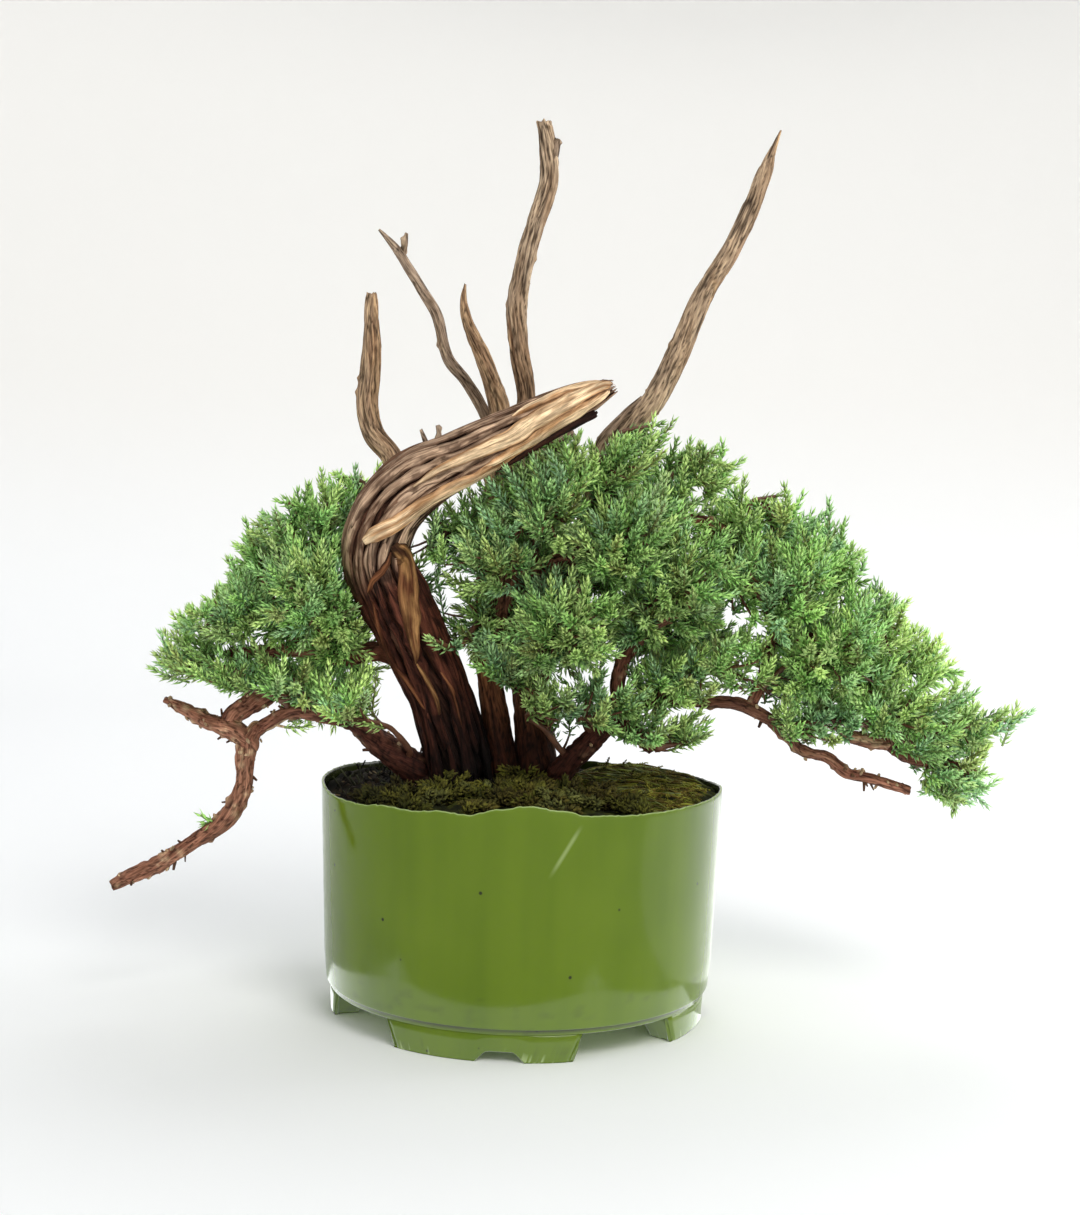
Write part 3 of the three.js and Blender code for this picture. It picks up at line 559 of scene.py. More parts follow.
def potFoot(middle):
    # A thin upright strip carried along a path: out along one side wall, round the pot's curve and
    # back in along the other; its lower edge rises over the notch, and it narrows to the ground.
    t = np.linspace(0, 1, foot["steps"])
    sideShare = foot["sideShare"]
    arc = np.clip((t - sideShare) / (1 - 2 * sideShare), 0, 1) * 2 - 1
    inShare = np.clip(np.maximum(sideShare - t, t - (1 - sideShare)) / sideShare, 0, 1)
    corner = foot["cornerCut"] * (1 - smoothStep(0, 0.06, 1 - np.abs(arc)))
    fromNotch = np.abs(arc / 2 * foot["spread"][0] - foot["notchTurn"])
    closing = smoothStep(foot["notchTop"] / 2, foot["notchLow"] / 2, fromNotch)
    arch = foot["notchHeight"] * (1 - closing) ** 0.7
    arch = np.where((t > sideShare) & (t < 1 - sideShare), arch, 0)
    section = [(-inward, z) for inward, z in foot["outside"]]
    section += [(inward - foot["wall"], z) for inward, z in foot["outside"][::-1]]
    rings = []
    for offset, z in section:
        share = z / foot["height"]
        ranges = (foot[key] for key in ("spread", "radius", "depth"))
        spread, radius, depth = (low + (top - low) * share for low, top in ranges)
        inward = depth * inShare
        azimuth = np.radians(middle) + np.radians(spread / 2) * arc
        path = polar(azimuth, radius - inward - corner * (inward < 0.01), 0)
        path = path + np.cross(unit(np.gradient(path, axis=0)), up) * offset
        path[:, 2] = arch + z * (1 - arch / foot["height"])
        rings.append(path)
    points = np.stack(rings, 1)
    z = points[..., 2]
    nick = layered(points * 0.35, 21)
    worn = smoothStep(0.62, 0.7, nick) * smoothStep(5, 0.5, z - arch[:, None])
    values = {"worn": worn, "shadeAndSoil": 0.25 * smoothStep(0.55, 0.8, nick) * (z < 10)}
    return capped(points, values, len(t), len(section))


def makePot():
    # The shell and its four feet, as one piece.
    part = joinParts([potShell()] + [potFoot(azimuth) for azimuth in foot["at"]])
    piece = makePiece("nurseryPot", part, plasticMaterial(), ["pot"])
    print("pot", len(piece.data.polygons))


makePot()


# Small shapes used many times: thin stems and lumps.
stemShape = {"rings": 5, "sides": 4, "endThick": 0.6}
crumb = {
    "corners": np.array([[0, 0, 1], [0.9, 0, 0.45], [0.28, 0.85, 0.45], [-0.72, 0.53, 0.45],
                         [-0.72, -0.53, 0.45], [0.28, -0.85, 0.45], [0.72, 0.53, -0.45],
                         [-0.28, 0.85, -0.45], [-0.9, 0, -0.45], [-0.28, -0.85, -0.45],
                         [0.72, -0.53, -0.45], [0, 0, -1]]),
    "faces": np.array([[0, 1, 2], [0, 2, 3], [0, 3, 4], [0, 4, 5], [0, 5, 1], [1, 6, 2], [2, 7, 3],
                       [3, 8, 4], [4, 9, 5], [5, 10, 1], [6, 7, 2], [7, 8, 3], [8, 9, 4], [9, 10, 5],
                       [10, 6, 1], [11, 7, 6], [11, 8, 7], [11, 9, 8], [11, 10, 9], [11, 6, 10]]),
    "tilt": 0.5,
}


def stemShapes(start, middle, end, thick, tint):
    # Thin four-sided stems, each along a curve given by three points.
    rings, sides = stemShape["rings"], stemShape["sides"]
    share = np.linspace(0, 1, rings)[None, :, None]
    path = curveAt(start[:, None], middle[:, None], end[:, None], share)
    along = unit(end - start)
    side = unit(np.cross(along, np.array([0.31, 0.22, 0.93])))
    ring = turnedAbout(aroundCircle(sides)[None, :], side[:, None], np.cross(along, side)[:, None])
    taper = np.linspace(1, stemShape["endThick"], rings)[None, :, None, None] * thick[:, None, None, None]
    points = path[:, :, None] + ring[:, None] * taper
    corners = rings * sides
    first = np.arange(len(start))[:, None, None] * corners
    walls = gridFaces(rings, sides)[None] + first
    ends = np.array([[3, 2, 1, 0], [16, 17, 18, 19]])[None] + first
    tints = np.repeat(tint, corners, 0)
    return points.reshape(-1, 3), [walls.reshape(-1, 4), ends.reshape(-1, 4)], {"tint": tints}


def crumbParts(spots, sizes, tints, random):
    # Twenty-sided lumps, each stretched, dented and turned by its own random numbers.
    count, corners = len(spots), len(crumb["corners"])
    shape = crumb["corners"][None] * (0.7 + 0.6 * random.random((count, corners, 1)))
    shape = shape * sizes[:, None, :]
    turn = random.random(count)[:, None] * 6.3
    tilt = random.normal(0, crumb["tilt"], count)[:, None]
    x = shape[..., 0] * np.cos(turn) - shape[..., 1] * np.sin(turn)
    y = shape[..., 0] * np.sin(turn) + shape[..., 1] * np.cos(turn)
    points = spots[:, None] + np.stack([x, y, shape[..., 2] + x * np.sin(tilt)], -1)
    faces = (np.arange(count)[:, None, None] * corners + crumb["faces"]).reshape(-1, 3)
    return points.reshape(-1, 3), [faces], {"tint": np.repeat(tints, corners, 0)}


def withGrain(part):
    # Small parts on a limb take their place as the wood's grain.
    points, faces, values = part
    return points, faces, {**values, "grain": points * mm}


# The woody plant. A line's points are x, y, z and the radius there.
crown = {
    "flat": 0.48, "line": [[-24, -4, 88, 36], [-22, -5, 118, 49], [-21, -5, 138, 56], [-20, -5, 152, 45]],
}
trunkLine = [
    [-38, -8, 141, 22], [-42, -8, 163, 20.5], [-55, -12, 205, 19.5], [-70, -20, 238, 20.5],
    [-83, -28, 265, 21.5], [-95, -35, 292, 20.5], [-88, -40, 318, 20], [-69, -42, 339, 19.5],
    [-46, -42, 352, 17], [-19, -42, 367, 14.5], [11, -40, 383, 12], [36, -38, 394, 9.5],
    [51, -37, 401, 4.5],
]
stems = {
    "stemMid": [[-12, -2, 142, 13], [-16, 0, 173, 10.5], [-20, 2, 199, 9], [-25, 8, 227, 8.5],
                [-27, 16, 263, 8.5], [-24, 20, 302, 8.5], [-21, 21, 347, 8.8], [-21, 20, 386, 8.2],
                [-27, 18, 406, 7], [-34, 16, 423, 6.3], [-43, 14, 442, 4.4], [-46, 13, 456, 2.4],
                [-45, 13, 467, 0.9]],
    "stemRight": [[11, 2, 144, 15], [8, 4, 163, 13.5], [5, 6, 189, 12], [-1, 16, 237, 9.5],
                  [-5, 26, 289, 8.5], [-6, 32, 348, 7.2], [-4, 36, 394, 6.2], [-10, 38, 427, 6.2],
                  [-12, 40, 456, 6.4], [-8, 42, 483, 6], [-1, 45, 511, 6], [7, 48, 538, 6.2],
                  [6, 50, 559, 6], [2, 51, 579, 5.3]],
    "deadRight": [[3, 10, 205, 9.5], [22, 20, 257, 9.2], [37, 24, 310, 9.2], [52, 26, 353, 9],
                  [67, 28, 379, 8.7], [80, 29, 396, 8.5], [93, 31, 423, 8.4], [112, 34, 469, 6.9],
                  [127, 36, 495, 6.3], [140, 38, 523, 6.5], [149, 40, 548, 5.4], [152, 40, 558, 3.2],
                  [158, 41, 575, 0.8]],
    "deadLeft": [[-84, -27, 300, 8], [-83, -12, 330, 7.7], [-89, -2, 353, 7.4], [-101, 2, 368, 7.6],
                 [-106, 4, 385, 7.5], [-105, 6, 406, 7.2], [-104, 8, 426, 6.7], [-105, 9, 447, 5.3],
                 [-105, 10, 460, 4]],
}
deadTwigs = {
    "deadFork": [[-21, 22, 328, 5], [-25, 28, 367, 4.5], [-31, 32, 384, 4.3], [-44, 38, 405, 4],
                 [-57, 43, 421, 4.1], [-65, 49, 449, 4.1], [-73, 52, 462, 3.9], [-85, 56, 480, 3.6],
                 [-92, 58, 491, 3.4], [-100, 59, 500, 2], [-106, 60, 506, 0.8]],
    "forkTine": [[-91, 58, 488, 2.4], [-88, 57, 496, 2], [-87, 56, 504, 1.2]],
    "stubTop": [[6, 49, 545, 3.2], [10, 48, 556, 3.2], [12, 47, 567, 2.2]],
    "deadLow": [[-5, 31, 335, 5.8], [9, 30, 360, 6], [19, 28, 368, 5.2], [27, 27, 375, 3.8]],
    "deadStrip": [[39, 22, 350, 4], [47, 21, 369, 4.3], [61, 24, 385, 4], [73, 28, 397, 3]],
    "spurOne": [[-62, -41, 340, 3.2], [-64, -41, 360, 2.2], [-68, -41, 371, 1]],
    "spurTwo": [[-56, -41, 344, 3], [-56, -40, 364, 2.1], [-58, -40, 374, 0.9]],
}
bareLimbs = {
    "cutStub": [[240, 6, 176, 4.8], [224, 6, 178, 5.4], [209, 5, 181, 4.6]],
    "stubLeft": [[-171, -11, 163, 6.2], [-177, -10, 170, 7.2], [-188, -8, 177, 7], [-203, -5, 181, 5.6],
                 [-221, -2, 189, 4.2], [-233, 0, 194, 2.4]],
    "bareDown": [[-168, -11, 182, 5.2], [-175, -10, 172, 6.4], [-178, -10, 158, 6.8], [-178, -11, 144, 5.6],
                 [-182, -13, 131, 6.2], [-190, -15, 119, 6.1], [-201, -17, 110, 5.7], [-215, -20, 101, 5.2],
                 [-232, -23, 90, 5.4], [-248, -26, 83, 5], [-259, -28, 77, 3.6]],
}
liveLimbs = {
    "limbLeft": [[-74, -20, 226, 8], [-93, -14, 230, 6.5], [-116, -6, 226, 6], [-146, 2, 228, 5],
                 [-171, 6, 226, 4.2], [-196, 8, 223, 3]],
    "leftUp": [[-126, -2, 227, 4.4], [-138, 10, 250, 4], [-143, 22, 279, 3.4], [-137, 30, 308, 2.4]],
    "leftMid": [[-146, 2, 228, 4], [-164, 14, 251, 3.4], [-174, 20, 277, 2.4]],
    "leftBack": [[-123, -2, 227, 4], [-136, 38, 238, 3.4], [-150, 62, 250, 2.4]],
    "limbLow": [[-60, -8, 149, 11], [-79, -12, 162, 10], [-93, -15, 173, 8.5], [-106, -18, 184, 7.4],
                [-119, -18, 188, 6.2], [-135, -15, 190, 5.4], [-150, -12, 189, 4.8], [-163, -11, 182, 4.8],
                [-174, -10, 174, 5]],
    "bareLink": [[-191, -8, 172, 5], [-188, -6, 184, 6.2], [-176, -1, 193, 7.2], [-166, 3, 200, 6.4],
                 [-168, 5, 211, 4.8], [-171, 6, 226, 4]],
    "limbFork": [[19, -9, 149, 10], [33, -16, 166, 8], [47, -20, 181, 6.8], [56, -22, 190, 6.2],
                 [67, -26, 187, 5.4], [83, -30, 174, 4.6]],
    "forkUp": [[55, -22, 188, 5.8], [59, -22, 203, 5.6], [59, -20, 216, 5], [66, -18, 236, 4.6],
               [82, -18, 252, 4], [104, -14, 262, 3.2]],
    "limbFar": [[58, -21, 202, 5], [86, -18, 204, 4.6], [116, -14, 203, 4.4], [138, -12, 202, 4.4],
                [155, -12, 194, 4.2], [167, -12, 184, 4.1], [179, -12, 173, 4.1], [194, -12, 170, 4.1],
                [208, -12, 160, 4.1], [225, -12, 156, 3.7], [249, -12, 149, 3.2]],
    "farUp": [[144, -12, 200, 4.2], [151, -7, 214, 3.6], [159, 0, 243, 3.4], [173, 8, 275, 2.6]],
    "farEnd": [[158, 0, 241, 3.4], [194, 6, 243, 3.8], [223, 8, 211, 4.2], [237, 6, 180, 5],
               [249, 4, 170, 5.4], [271, 2, 166, 4.2], [284, 0, 164, 2.6]],
    "limbTop": [[-25, 8, 225, 8], [-18, 0, 256, 8], [-13, -2, 277, 7.5], [-13, 0, 296, 6.2],
                [-5, 10, 314, 4.6], [3, 18, 329, 3.4]],
    "topRight": [[-13, -2, 282, 6], [8, -4, 287, 5.7], [26, -6, 294, 5.2], [53, -6, 306, 4.8],
                 [81, -4, 315, 4.2], [110, 4, 319, 3.6], [140, 10, 306, 3.2], [173, 16, 302, 2.4]],
    "limbBack": [[-14, 0, 264, 6], [2, 36, 259, 5], [15, 64, 262, 4.2], [49, 78, 274, 3.6],
                 [83, 80, 288, 2.6]],
    "backFar": [[110, 4, 319, 3.6], [148, 40, 286, 3.4], [186, 62, 258, 2.6]],
}

# Spurs and nubs: the limb, its first knot that has any, and how many of each.
limbBits = {
    "spur": "70503f", "nub": "e6c9a4", "paleTwig": [[-165, -12, 182], [-149, -13, 179]],
    # how far painted shade reaches along each limb from the plant's foot, and its darkest share
    "shade": {"limbLow": [190, 0.12], "limbFork": [190, 0.15], "limbFar": [330, 0.12], "farEnd": [450, 0.2]},
    "on": [["bareDown", 0, 9, 13], ["stubLeft", 0, 9, 13], ["bareLink", 0, 9, 13], ["limbFar", 0, 9, 13],
           ["farEnd", 0, 9, 13], ["limbFork", 0, 9, 13], ["limbLow", 0, 9, 13]],
    "more": [["limbFar", -3, 5, 6], ["bareDown", -5, 3, 7]],
}

# Ribbons of wood and bark laid along the trunk, as the camera sees them: x, z and half the width;
# then how thick each is, its lighter and darker colour, and how far it stands off the trunk.
ribbonKinds = {
    "tan": {"thick": 2.6, "light": "fde1ba", "dark": "c29468", "off": 0.8},
    "orange": {"thick": 2.4, "light": "b68a5a", "dark": "683f28", "off": 1.1},
    "brown": {"thick": 1.8, "light": "9a6443", "dark": "4f2a1a", "off": 0.5},
    # the under kind is painted shade: a dark strip along the underside of the sweep
    "under": {"thick": 2.8, "light": "4a2a20", "dark": "1c0d09", "off": 2.0},
}
ribbons = {
    "tongue": ["tan", [[-104, 304, 2.4], [-98, 307, 4.8], [-82, 316, 5.8], [-68, 326, 5.6], [-51, 336, 5.2],
                       [-35, 344, 4.8], [-22, 352, 4.4], [-11, 359, 3.6], [0, 366, 2.4], [10, 372, 0.7]]],
    "second": ["tan", [[-73, 337, 0.7], [-58, 347, 2.4], [-42, 355, 3.8], [-27, 362, 5.0],
                       [-13, 369, 5.9], [0, 378, 6.3], [13, 386, 6.2], [29, 395, 5.2], [42, 401, 3.9],
                       [51, 404, 1.8]]],
    "third": ["tan", [[-30, 350, 0.7], [-20, 356, 2.6], [-10, 362, 3.9], [0, 368, 4.6], [13, 377, 4.6],
                      [29, 387, 4.2], [42, 395, 3.0], [51, 401, 1.1]]],
    "upper": ["tan", [[-14, 380, 0.5], [-3, 386, 2.0], [9, 392, 2.9], [22, 398, 2.9], [35, 402, 2.5],
                      [47, 405, 1.4]]],
    # painted shade under the sweep, as a dark strip
    "under": ["under", [[-24, 345, 1.4], [-12, 351, 3.4], [2, 357, 4.0], [15, 364, 3.8], [27, 372, 3.4],
                        [36, 380, 2.8], [44, 390, 1.2]]],
    "front": ["orange", [[-86, 303, 3.0], [-82, 293, 7.6], [-80, 278, 8.2], [-78, 262, 7.0],
                         [-76, 248, 5.2], [-74, 237, 3.2], [-73, 227, 0.6]]],
    "flap": ["brown", [[-104, 271, 0.9], [-99, 280, 2.9], [-93, 288, 2.7], [-88, 298, 1.4]]],
    "lowLeft": ["brown", [[-101, 265, 0.7], [-94, 244, 1.6], [-87, 227, 1.6], [-76, 213, 1.4],
                          [-63, 194, 0.7]]],
    "lowMid": ["orange", [[-73, 228, 0.7], [-66, 217, 1.8], [-58, 202, 1.6], [-54, 187, 0.5]]],
    "lowRight": ["brown", [[-57, 221, 0.7], [-49, 208, 1.8], [-44, 194, 1.6], [-40, 179, 0.5]]],
}
# Ribs of bark that run with the grain round the whole trunk: how many stand side by side, how many
# follow each other lengthwise, the share of the trunk each covers, half the width, and thickness.
ribRules = {"broad": [14, 3, 0.46, 4.1, 2.0], "fine": [17, 3, 0.2, 1.5, 2.3], "core": 0.87}
ribTints = {"high": ["cdb096", "775947"], "low": ["744333", "3c1d14"], "between": (272, 300)}
ribbonLook = {
    "columns": 14, "waves": [30, 30, 9.0], "ridges": [1.1, 9, 22], "steps": [5.0, 30, 12],
    "streaks": [1.7, 6, 30], "cracks": [2.2, 9, 7],
}
tongueShade = {"edge": [[-104, -82, -51, -22], [304, 316, 336, 352]], "left": (-108, -98), "dark": 0.65}
# Each stem's shift of tone and how bare of bark it is.
stemLook = {
    "stemMid": [0.1, 0.45], "stemRight": [0.0, 0.1], "deadRight": [-0.15, 0.25], "deadLeft": [0.05, 0.45],
}
plantFoot = {
    "place": np.array([-14, -4, 142.0]), "redder": [0.9, 0.55, 0.45], "ruddy": [1.35, 0.82, 0.6],
    "ruddyBetween": (290, 200),
}
# How large each kind of mark on the bark is: across the grain twice, and along it.
barkLook = {
    "bend": [9.0, 9, 26], "fibre": [0.8, 0.8, 9], "peel": [6.0, 6, 38], "tone": [14.0, 14, 60],
    "streak": [1.6, 1.6, 40], "ragged": 7,
}
barkKinds = {
    "trunk": {
        "step": 1.2, "sides": 150, "flute": 3.5, "fluteSize": [17, 17, 90], "plate": [3.4, 3.4, 46],
        "relief": 3.2, "fibre": 0.5, "wind": 0.010, "ridge": "6d4c3d", "second": "4a2a1e",
        "furrow": "1a0d08", "bare": "b98a58", "bareDark": "7a4c2c", "splinter": 5,
    },
    "stem": {
        "step": 1.3, "sides": 54, "flute": 2.4, "fluteSize": [8, 8, 70], "plate": [2.1, 2.1, 34],
        "relief": 1.5, "fibre": 0.35, "wind": 0.012, "ridge": "c8b39a", "second": "9a7e64",
        "furrow": "291b13", "bare": "d8b78f", "bareDark": "96755a", "splinter": 4,
    },
    "twig": {
        "step": 1.0, "sides": 40, "flute": 1.1, "fluteSize": [5, 5, 40], "plate": [1.6, 1.6, 24],
        "relief": 0.8, "fibre": 0.25, "wind": 0.015, "ridge": "b5a290", "second": "8f7a67",
        "furrow": "2e2119", "bare": "d0b99d", "bareDark": "967c63", "splinter": 2,
    },
    "limb": {
        "step": 1.3, "sides": 34, "flute": 1.7, "fluteSize": [6, 6, 18], "plate": [2.0, 2.0, 9],
        "relief": 1.5, "fibre": 0.5, "wind": 0.02, "ridge": "b9836c", "second": "8b5545",
        "furrow": "3d1f18", "bare": "e8cba6", "bareDark": "bb8d66", "splinter": 1,
    },
}


def ribbonPart(centre, outward, halfWide, thick, light, dark, seed, rough=1.0):
    # A flat-oval strip along a line: wavy edges, a lengthwise grain, and painted shade towards its edges.
    along = unit(np.gradient(centre, axis=0))
    normal = unit(outward - along * (outward * along).sum(1, keepdims=True))
    flat = np.cross(along, normal)
    columns = ribbonLook["columns"]
    angle = aroundCircle(columns)[None, :]
    grain = stacked(halfWide[:, None] * np.cos(angle), np.sin(angle), reachAlong(centre)[:, None])
    grain = grain + 5.3 * seed

    def grained(key, offset, *layers):
        # Noise that runs with the strip, at the size of that mark.
        size = np.array(ribbonLook[key])
        return layered(grain / size, seed + offset, *layers) if layers else noise(grain / size, seed + offset)

    wavy = 0.84 + 0.5 * rough * (grained("waves", 0) - 0.3)
    wide = halfWide[:, None] * wavy * np.cos(angle)
    high = 0.85 + 0.5 * rough * (grained("ridges", 1) - 0.5) + 0.6 * (rough - 1) * (grained("steps", 4) - 0.5)
    high = thick[:, None] * high * np.sign(np.sin(angle)) * np.abs(np.sin(angle)) ** (0.7 / rough)
    points = centre[:, None] + wide[..., None] * flat[:, None] + high[..., None] * normal[:, None]
    # painted shade where the strip's edges meet the wood beneath
    edges = smoothStep(0.6, 1.0, np.abs(np.cos(angle))) * 0.9
    share = np.maximum(smoothStep(0.45, 0.66, grained("streaks", 2, 3)), edges)
    cracked = smoothStep(0.56, 0.7, grained("cracks", 3, 2)) * (rough - 1)
    tint = blend(blend(light, dark, share), dark * 0.6, cracked)
    return capped(points, {"tint": tint, "grain": grain * mm}, len(centre), columns)


def laidRibbon(kind, line, seed):
    # Each point of the line is moved along the camera's sight line onto the trunk's near side.
    rules = ribbonKinds[kind]
    flatLine, wide, reach = smoothLine([[x, 0, z, half] for x, z, half in line], 1.3)
    path, radius, _ = smoothLine(trunkLine, 3)
    along, _, _ = carriedFrames(path)
    spots = flatLine[:, [0, 2]]
    nearest = np.linalg.norm(spots[:, None] - seenFromFront(path), axis=-1).argmin(1)
    nearest = np.interp(np.arange(len(spots)), np.arange(0, len(spots), 6), nearest[::6])

    def onTrunk(column):
        # A number known along the trunk, read off beside each point of the ribbon.
        return np.interp(nearest, np.arange(len(path)), column)

    axis = np.stack([onTrunk(path[:, k]) for k in range(3)], 1)
    ahead = unit(np.stack([onTrunk(along[:, k]) for k in range(3)], 1))
    size = onTrunk(radius)
    sight = unit(eye - axis)
    toward = unit(sight - ahead * (sight * ahead).sum(1, keepdims=True))
    across = np.cross(ahead, toward)
    acrossSeen = unit(seenFromFront(axis + across) - seenFromFront(axis))
    share = np.clip(((spots - seenFromFront(axis)) * acrossSeen).sum(1) / size, -0.93, 0.93)
    outward = across * share[:, None] + toward * np.sqrt(1 - share ** 2)[:, None]
    centre = axis + outward * (size + rules["off"])[:, None]
    thick = rules["thick"] * smoothStep(-0.5, 7, np.minimum(reach, reach[-1] - reach)) + 0.3
    return ribbonPart(centre, outward, wide, thick, colour(rules["light"]), colour(rules["dark"]), seed)


def barkRibs(line, rules, seed):
    # Ribs side by side round the trunk, in rows that follow each other, each a little out of line.
    random = np.random.default_rng(seed)
    path, radius, reach = smoothLine(line, 1.7)
    _, side, other = carriedFrames(path)
    around, rows, cover, halfWide, thick = rules
    parts = []
    for i in range(around * rows):
        long = int(len(path) * cover * random.uniform(0.75, 1.1))
        row = (i // around + random.uniform(-0.4, 0.4)) / max(rows - 1, 1)
        start = int((len(path) - long) * np.clip(row, 0, 1))
        own = slice(start, start + long)
        share = np.linspace(0, 1, long)
        turn = fullTurn * (i + random.uniform(-0.2, 0.2)) / around
        turn = turn + 0.05 * np.sin(share * random.uniform(3, 9) + i)
        turn = turn + barkKinds["trunk"]["wind"] * 0.3 * reach[own]
        outward = turnedAbout(turn, side[own], other[own])
        ends = np.clip(np.sin(np.pi * share), 0, 1) ** 0.35
        size = radius[own] / 20
        lift = random.uniform(-0.7, 0.5) + 0.9 * (noise(path[own] / 14, i) - 0.5)
        centre = path[own] + outward * (radius[own] * 0.95 + lift * size)[:, None]
        wide = halfWide * random.uniform(0.7, 1.15) * ends * size + 0.1
        height = smoothStep(*ribTints["between"], path[own][:, 2])
        light, dark = (blend(colour(low), colour(high), height)[:, None] * random.uniform(0.75, 1.15)
                       for low, high in zip(ribTints["low"], ribTints["high"]))
        thickness = thick * (0.5 + 0.5 * ends) * size
        parts.append(ribbonPart(centre, outward, wide, thickness, light, dark, seed + i, 1.8))
    return parts


def woodTube(line, kind, seed, bareness=0.0, toneShift=0.0, knobs=0):
    # A ring carried along the line. Its radius is the limb's, plus slow flutes, plus plates of
    # bark with sharp furrows between them, plus fine fibres, all stretched along the grain.
    rules = barkKinds[kind]
    path, radius, reach = smoothLine(line, rules["step"])
    along, side, other = carriedFrames(path)
    rows, columns = len(path), rules["sides"]
    angle = aroundCircle(columns)[None, :]
    wound = angle + rules["wind"] * reach[:, None]
    size = np.maximum(radius, 1.0)[:, None]
    grain = stacked(size * np.cos(wound), size * np.sin(wound), reach[:, None]) + 7.7 * seed
    thin = np.clip(size / 6, 0.12, 1)
    bend = layered(grain / barkLook["bend"], seed + 3, 2)[..., None] * np.array([1.3, 1.3, 0])
    plates = np.abs(2 * layered(grain / rules["plate"] + bend, seed + 1, 2) - 1) * 1.9
    plates = np.clip(plates, 0, 1) ** 0.7
    peeled = smoothStep(0.68, 0.76, layered(grain / barkLook["peel"], seed + 5, 2))
    bare = np.clip(bareness + 0.9 * peeled * (bareness < 1), 0, 1)
    height = rules["flute"] * (noise(grain / rules["fluteSize"], seed) - 0.5) * thin
    height += rules["relief"] * (plates - 0.75) * thin * (1 - 0.72 * bare)
    height += rules["fibre"] * (noise(grain / barkLook["fibre"], seed + 2) - 0.5) * thin
    height -= 1.1 * bare * (bareness < 1) * thin
    random = np.random.default_rng(500 + seed)
    knobMask = np.zeros((rows, columns))
    for _ in range(knobs):
        row, at, big = random.integers(2, rows - 2), random.random() * fullTurn, 0.9 + 1.3 * random.random()
        turned = np.abs((angle - at + np.pi) % fullTurn - np.pi) * size
        spot = np.exp(-(turned ** 2 + (reach[:, None] - reach[row]) ** 2) / big ** 2)
        height += spot * big * 0.8
        knobMask = np.maximum(knobMask, spot)
    rounded = np.sqrt(np.clip((reach + 0.3) / radius[0] / 0.8, 0, 1))[:, None]
    thickness = np.maximum((radius[:, None] + height) * rounded, 0.25)
    points = path[:, None] + thickness[..., None] * turnedAbout(angle, side[:, None], other[:, None])
    # broken ends: the last few rings run out by different amounts round the limb
    ragged = -rules["splinter"] * noise(grain * np.array([0.9, 0.9, 0]) + 4.2, seed + 8)
    nearEnd = smoothStep(reach[-1] - barkLook["ragged"], reach[-1], reach[:, None])
    points += (ragged * nearEnd * np.minimum(1, radius[-1] / 2))[..., None] * along[:, None]
    furrow = 1 - smoothStep(0.05, 0.55, plates)
    tone = layered(grain / barkLook["tone"], seed + 6) + toneShift
    barkTint = blend(colour(rules["ridge"]), colour(rules["second"]), smoothStep(0.3, 0.7, tone))
    barkTint = blend(barkTint, colour(rules["furrow"]), furrow * 0.92)
    streak = layered(grain / barkLook["streak"], seed + 7)
    bareTint = blend(colour(rules["bare"]), colour(rules["bareDark"]), smoothStep(0.42, 0.68, streak))
    bareTint = blend(bareTint, colour(rules["furrow"]), smoothStep(0.35, 0.9, furrow) * 0.75)
    tint = blend(blend(barkTint, bareTint, bare), colour(rules["bare"]), knobMask * 0.7)
    return points, {"tint": tint, "grain": grain * mm}, rows, columns


def paintedFootShade(points, values, far, least):
    # Painted shade close to the soil: the tint falls off towards the plant's foot, and is
    # redder there.
    share = smoothStep(25, far, np.linalg.norm(points - plantFoot["place"], axis=-1))
    values["tint"] = values["tint"] * blend(np.array(plantFoot["redder"]) * least, np.ones(3), share)
    return values


def woodPart(line, kind, seed, far=90, least=0.3, **more):
    # A closed length of wood, with painted shade towards the plant's foot.
    points, values, rows, columns = woodTube(line, kind, seed, **more)
    return capped(points, paintedFootShade(points, values, far, least), rows, columns)


def makeTrunk():
    # A plain core, with the ribbons of wood and the ribs of bark laid on it.
    core = [[x, y, z, radius * ribRules["core"]] for x, y, z, radius in trunkLine]
    part = woodPart(core, "trunk", 1, far=125, least=0.04)
    bark = woodMaterial("trunkBark", 900.0, 0.9, 0.5)
    piece = makePiece("trunk", part, bark, ["woody_plant"])
    print("trunk", len(piece.data.polygons))
    parts = [laidRibbon(kind, line, 70 + i) for i, (kind, line) in enumerate(ribbons.values())]
    for i, kind in enumerate(("broad", "fine")):
        parts += barkRibs(trunkLine, ribRules[kind], 200 + 100 * i)
    points, faces, values = joinParts(parts)
    # the shadow under the tongue of bare wood
    seen = seenFromFront(points)
    below = np.interp(seen[:, 0], *tongueShade["edge"]) - seen[:, 1]
    shade = smoothStep(4, 8, below) * smoothStep(46, 20, below) * smoothStep(*tongueShade["left"], seen[:, 0])
    shade = shade * smoothStep(0, -8, points[:, 1] + 28) * (values["tint"].mean(1) < 0.2)
    values["tint"] = values["tint"] * (1 - tongueShade["dark"] * shade[:, None])
    # painted shade on the ribs, nearly black towards the plant's foot
    ribs = points, faces, paintedFootShade(points, values, 115, 0.03)
    piece = makePiece("barkRibs", ribs, bark, ["woody_plant"])
    print("bark ribs", len(piece.data.polygons))


def makeCrown():
    # The swollen foot of the plant: wide and shallow, ribbed where each stem leaves it.
    points, values, rows, columns = woodTube(crown["line"], "trunk", 9)
    middle = smoothLine(crown["line"], barkKinds["trunk"]["step"])[0][:, None, 1]
    points[..., 1] = middle + (points[..., 1] - middle) * crown["flat"]
    # painted shade, nearly black, towards the plant's foot
    part = capped(points, paintedFootShade(points, values, 170, 0.05), rows, columns)
    piece = makePiece("crown", part, bpy.data.materials["trunkBark"], ["woody_plant"])
    print("crown", len(piece.data.polygons))


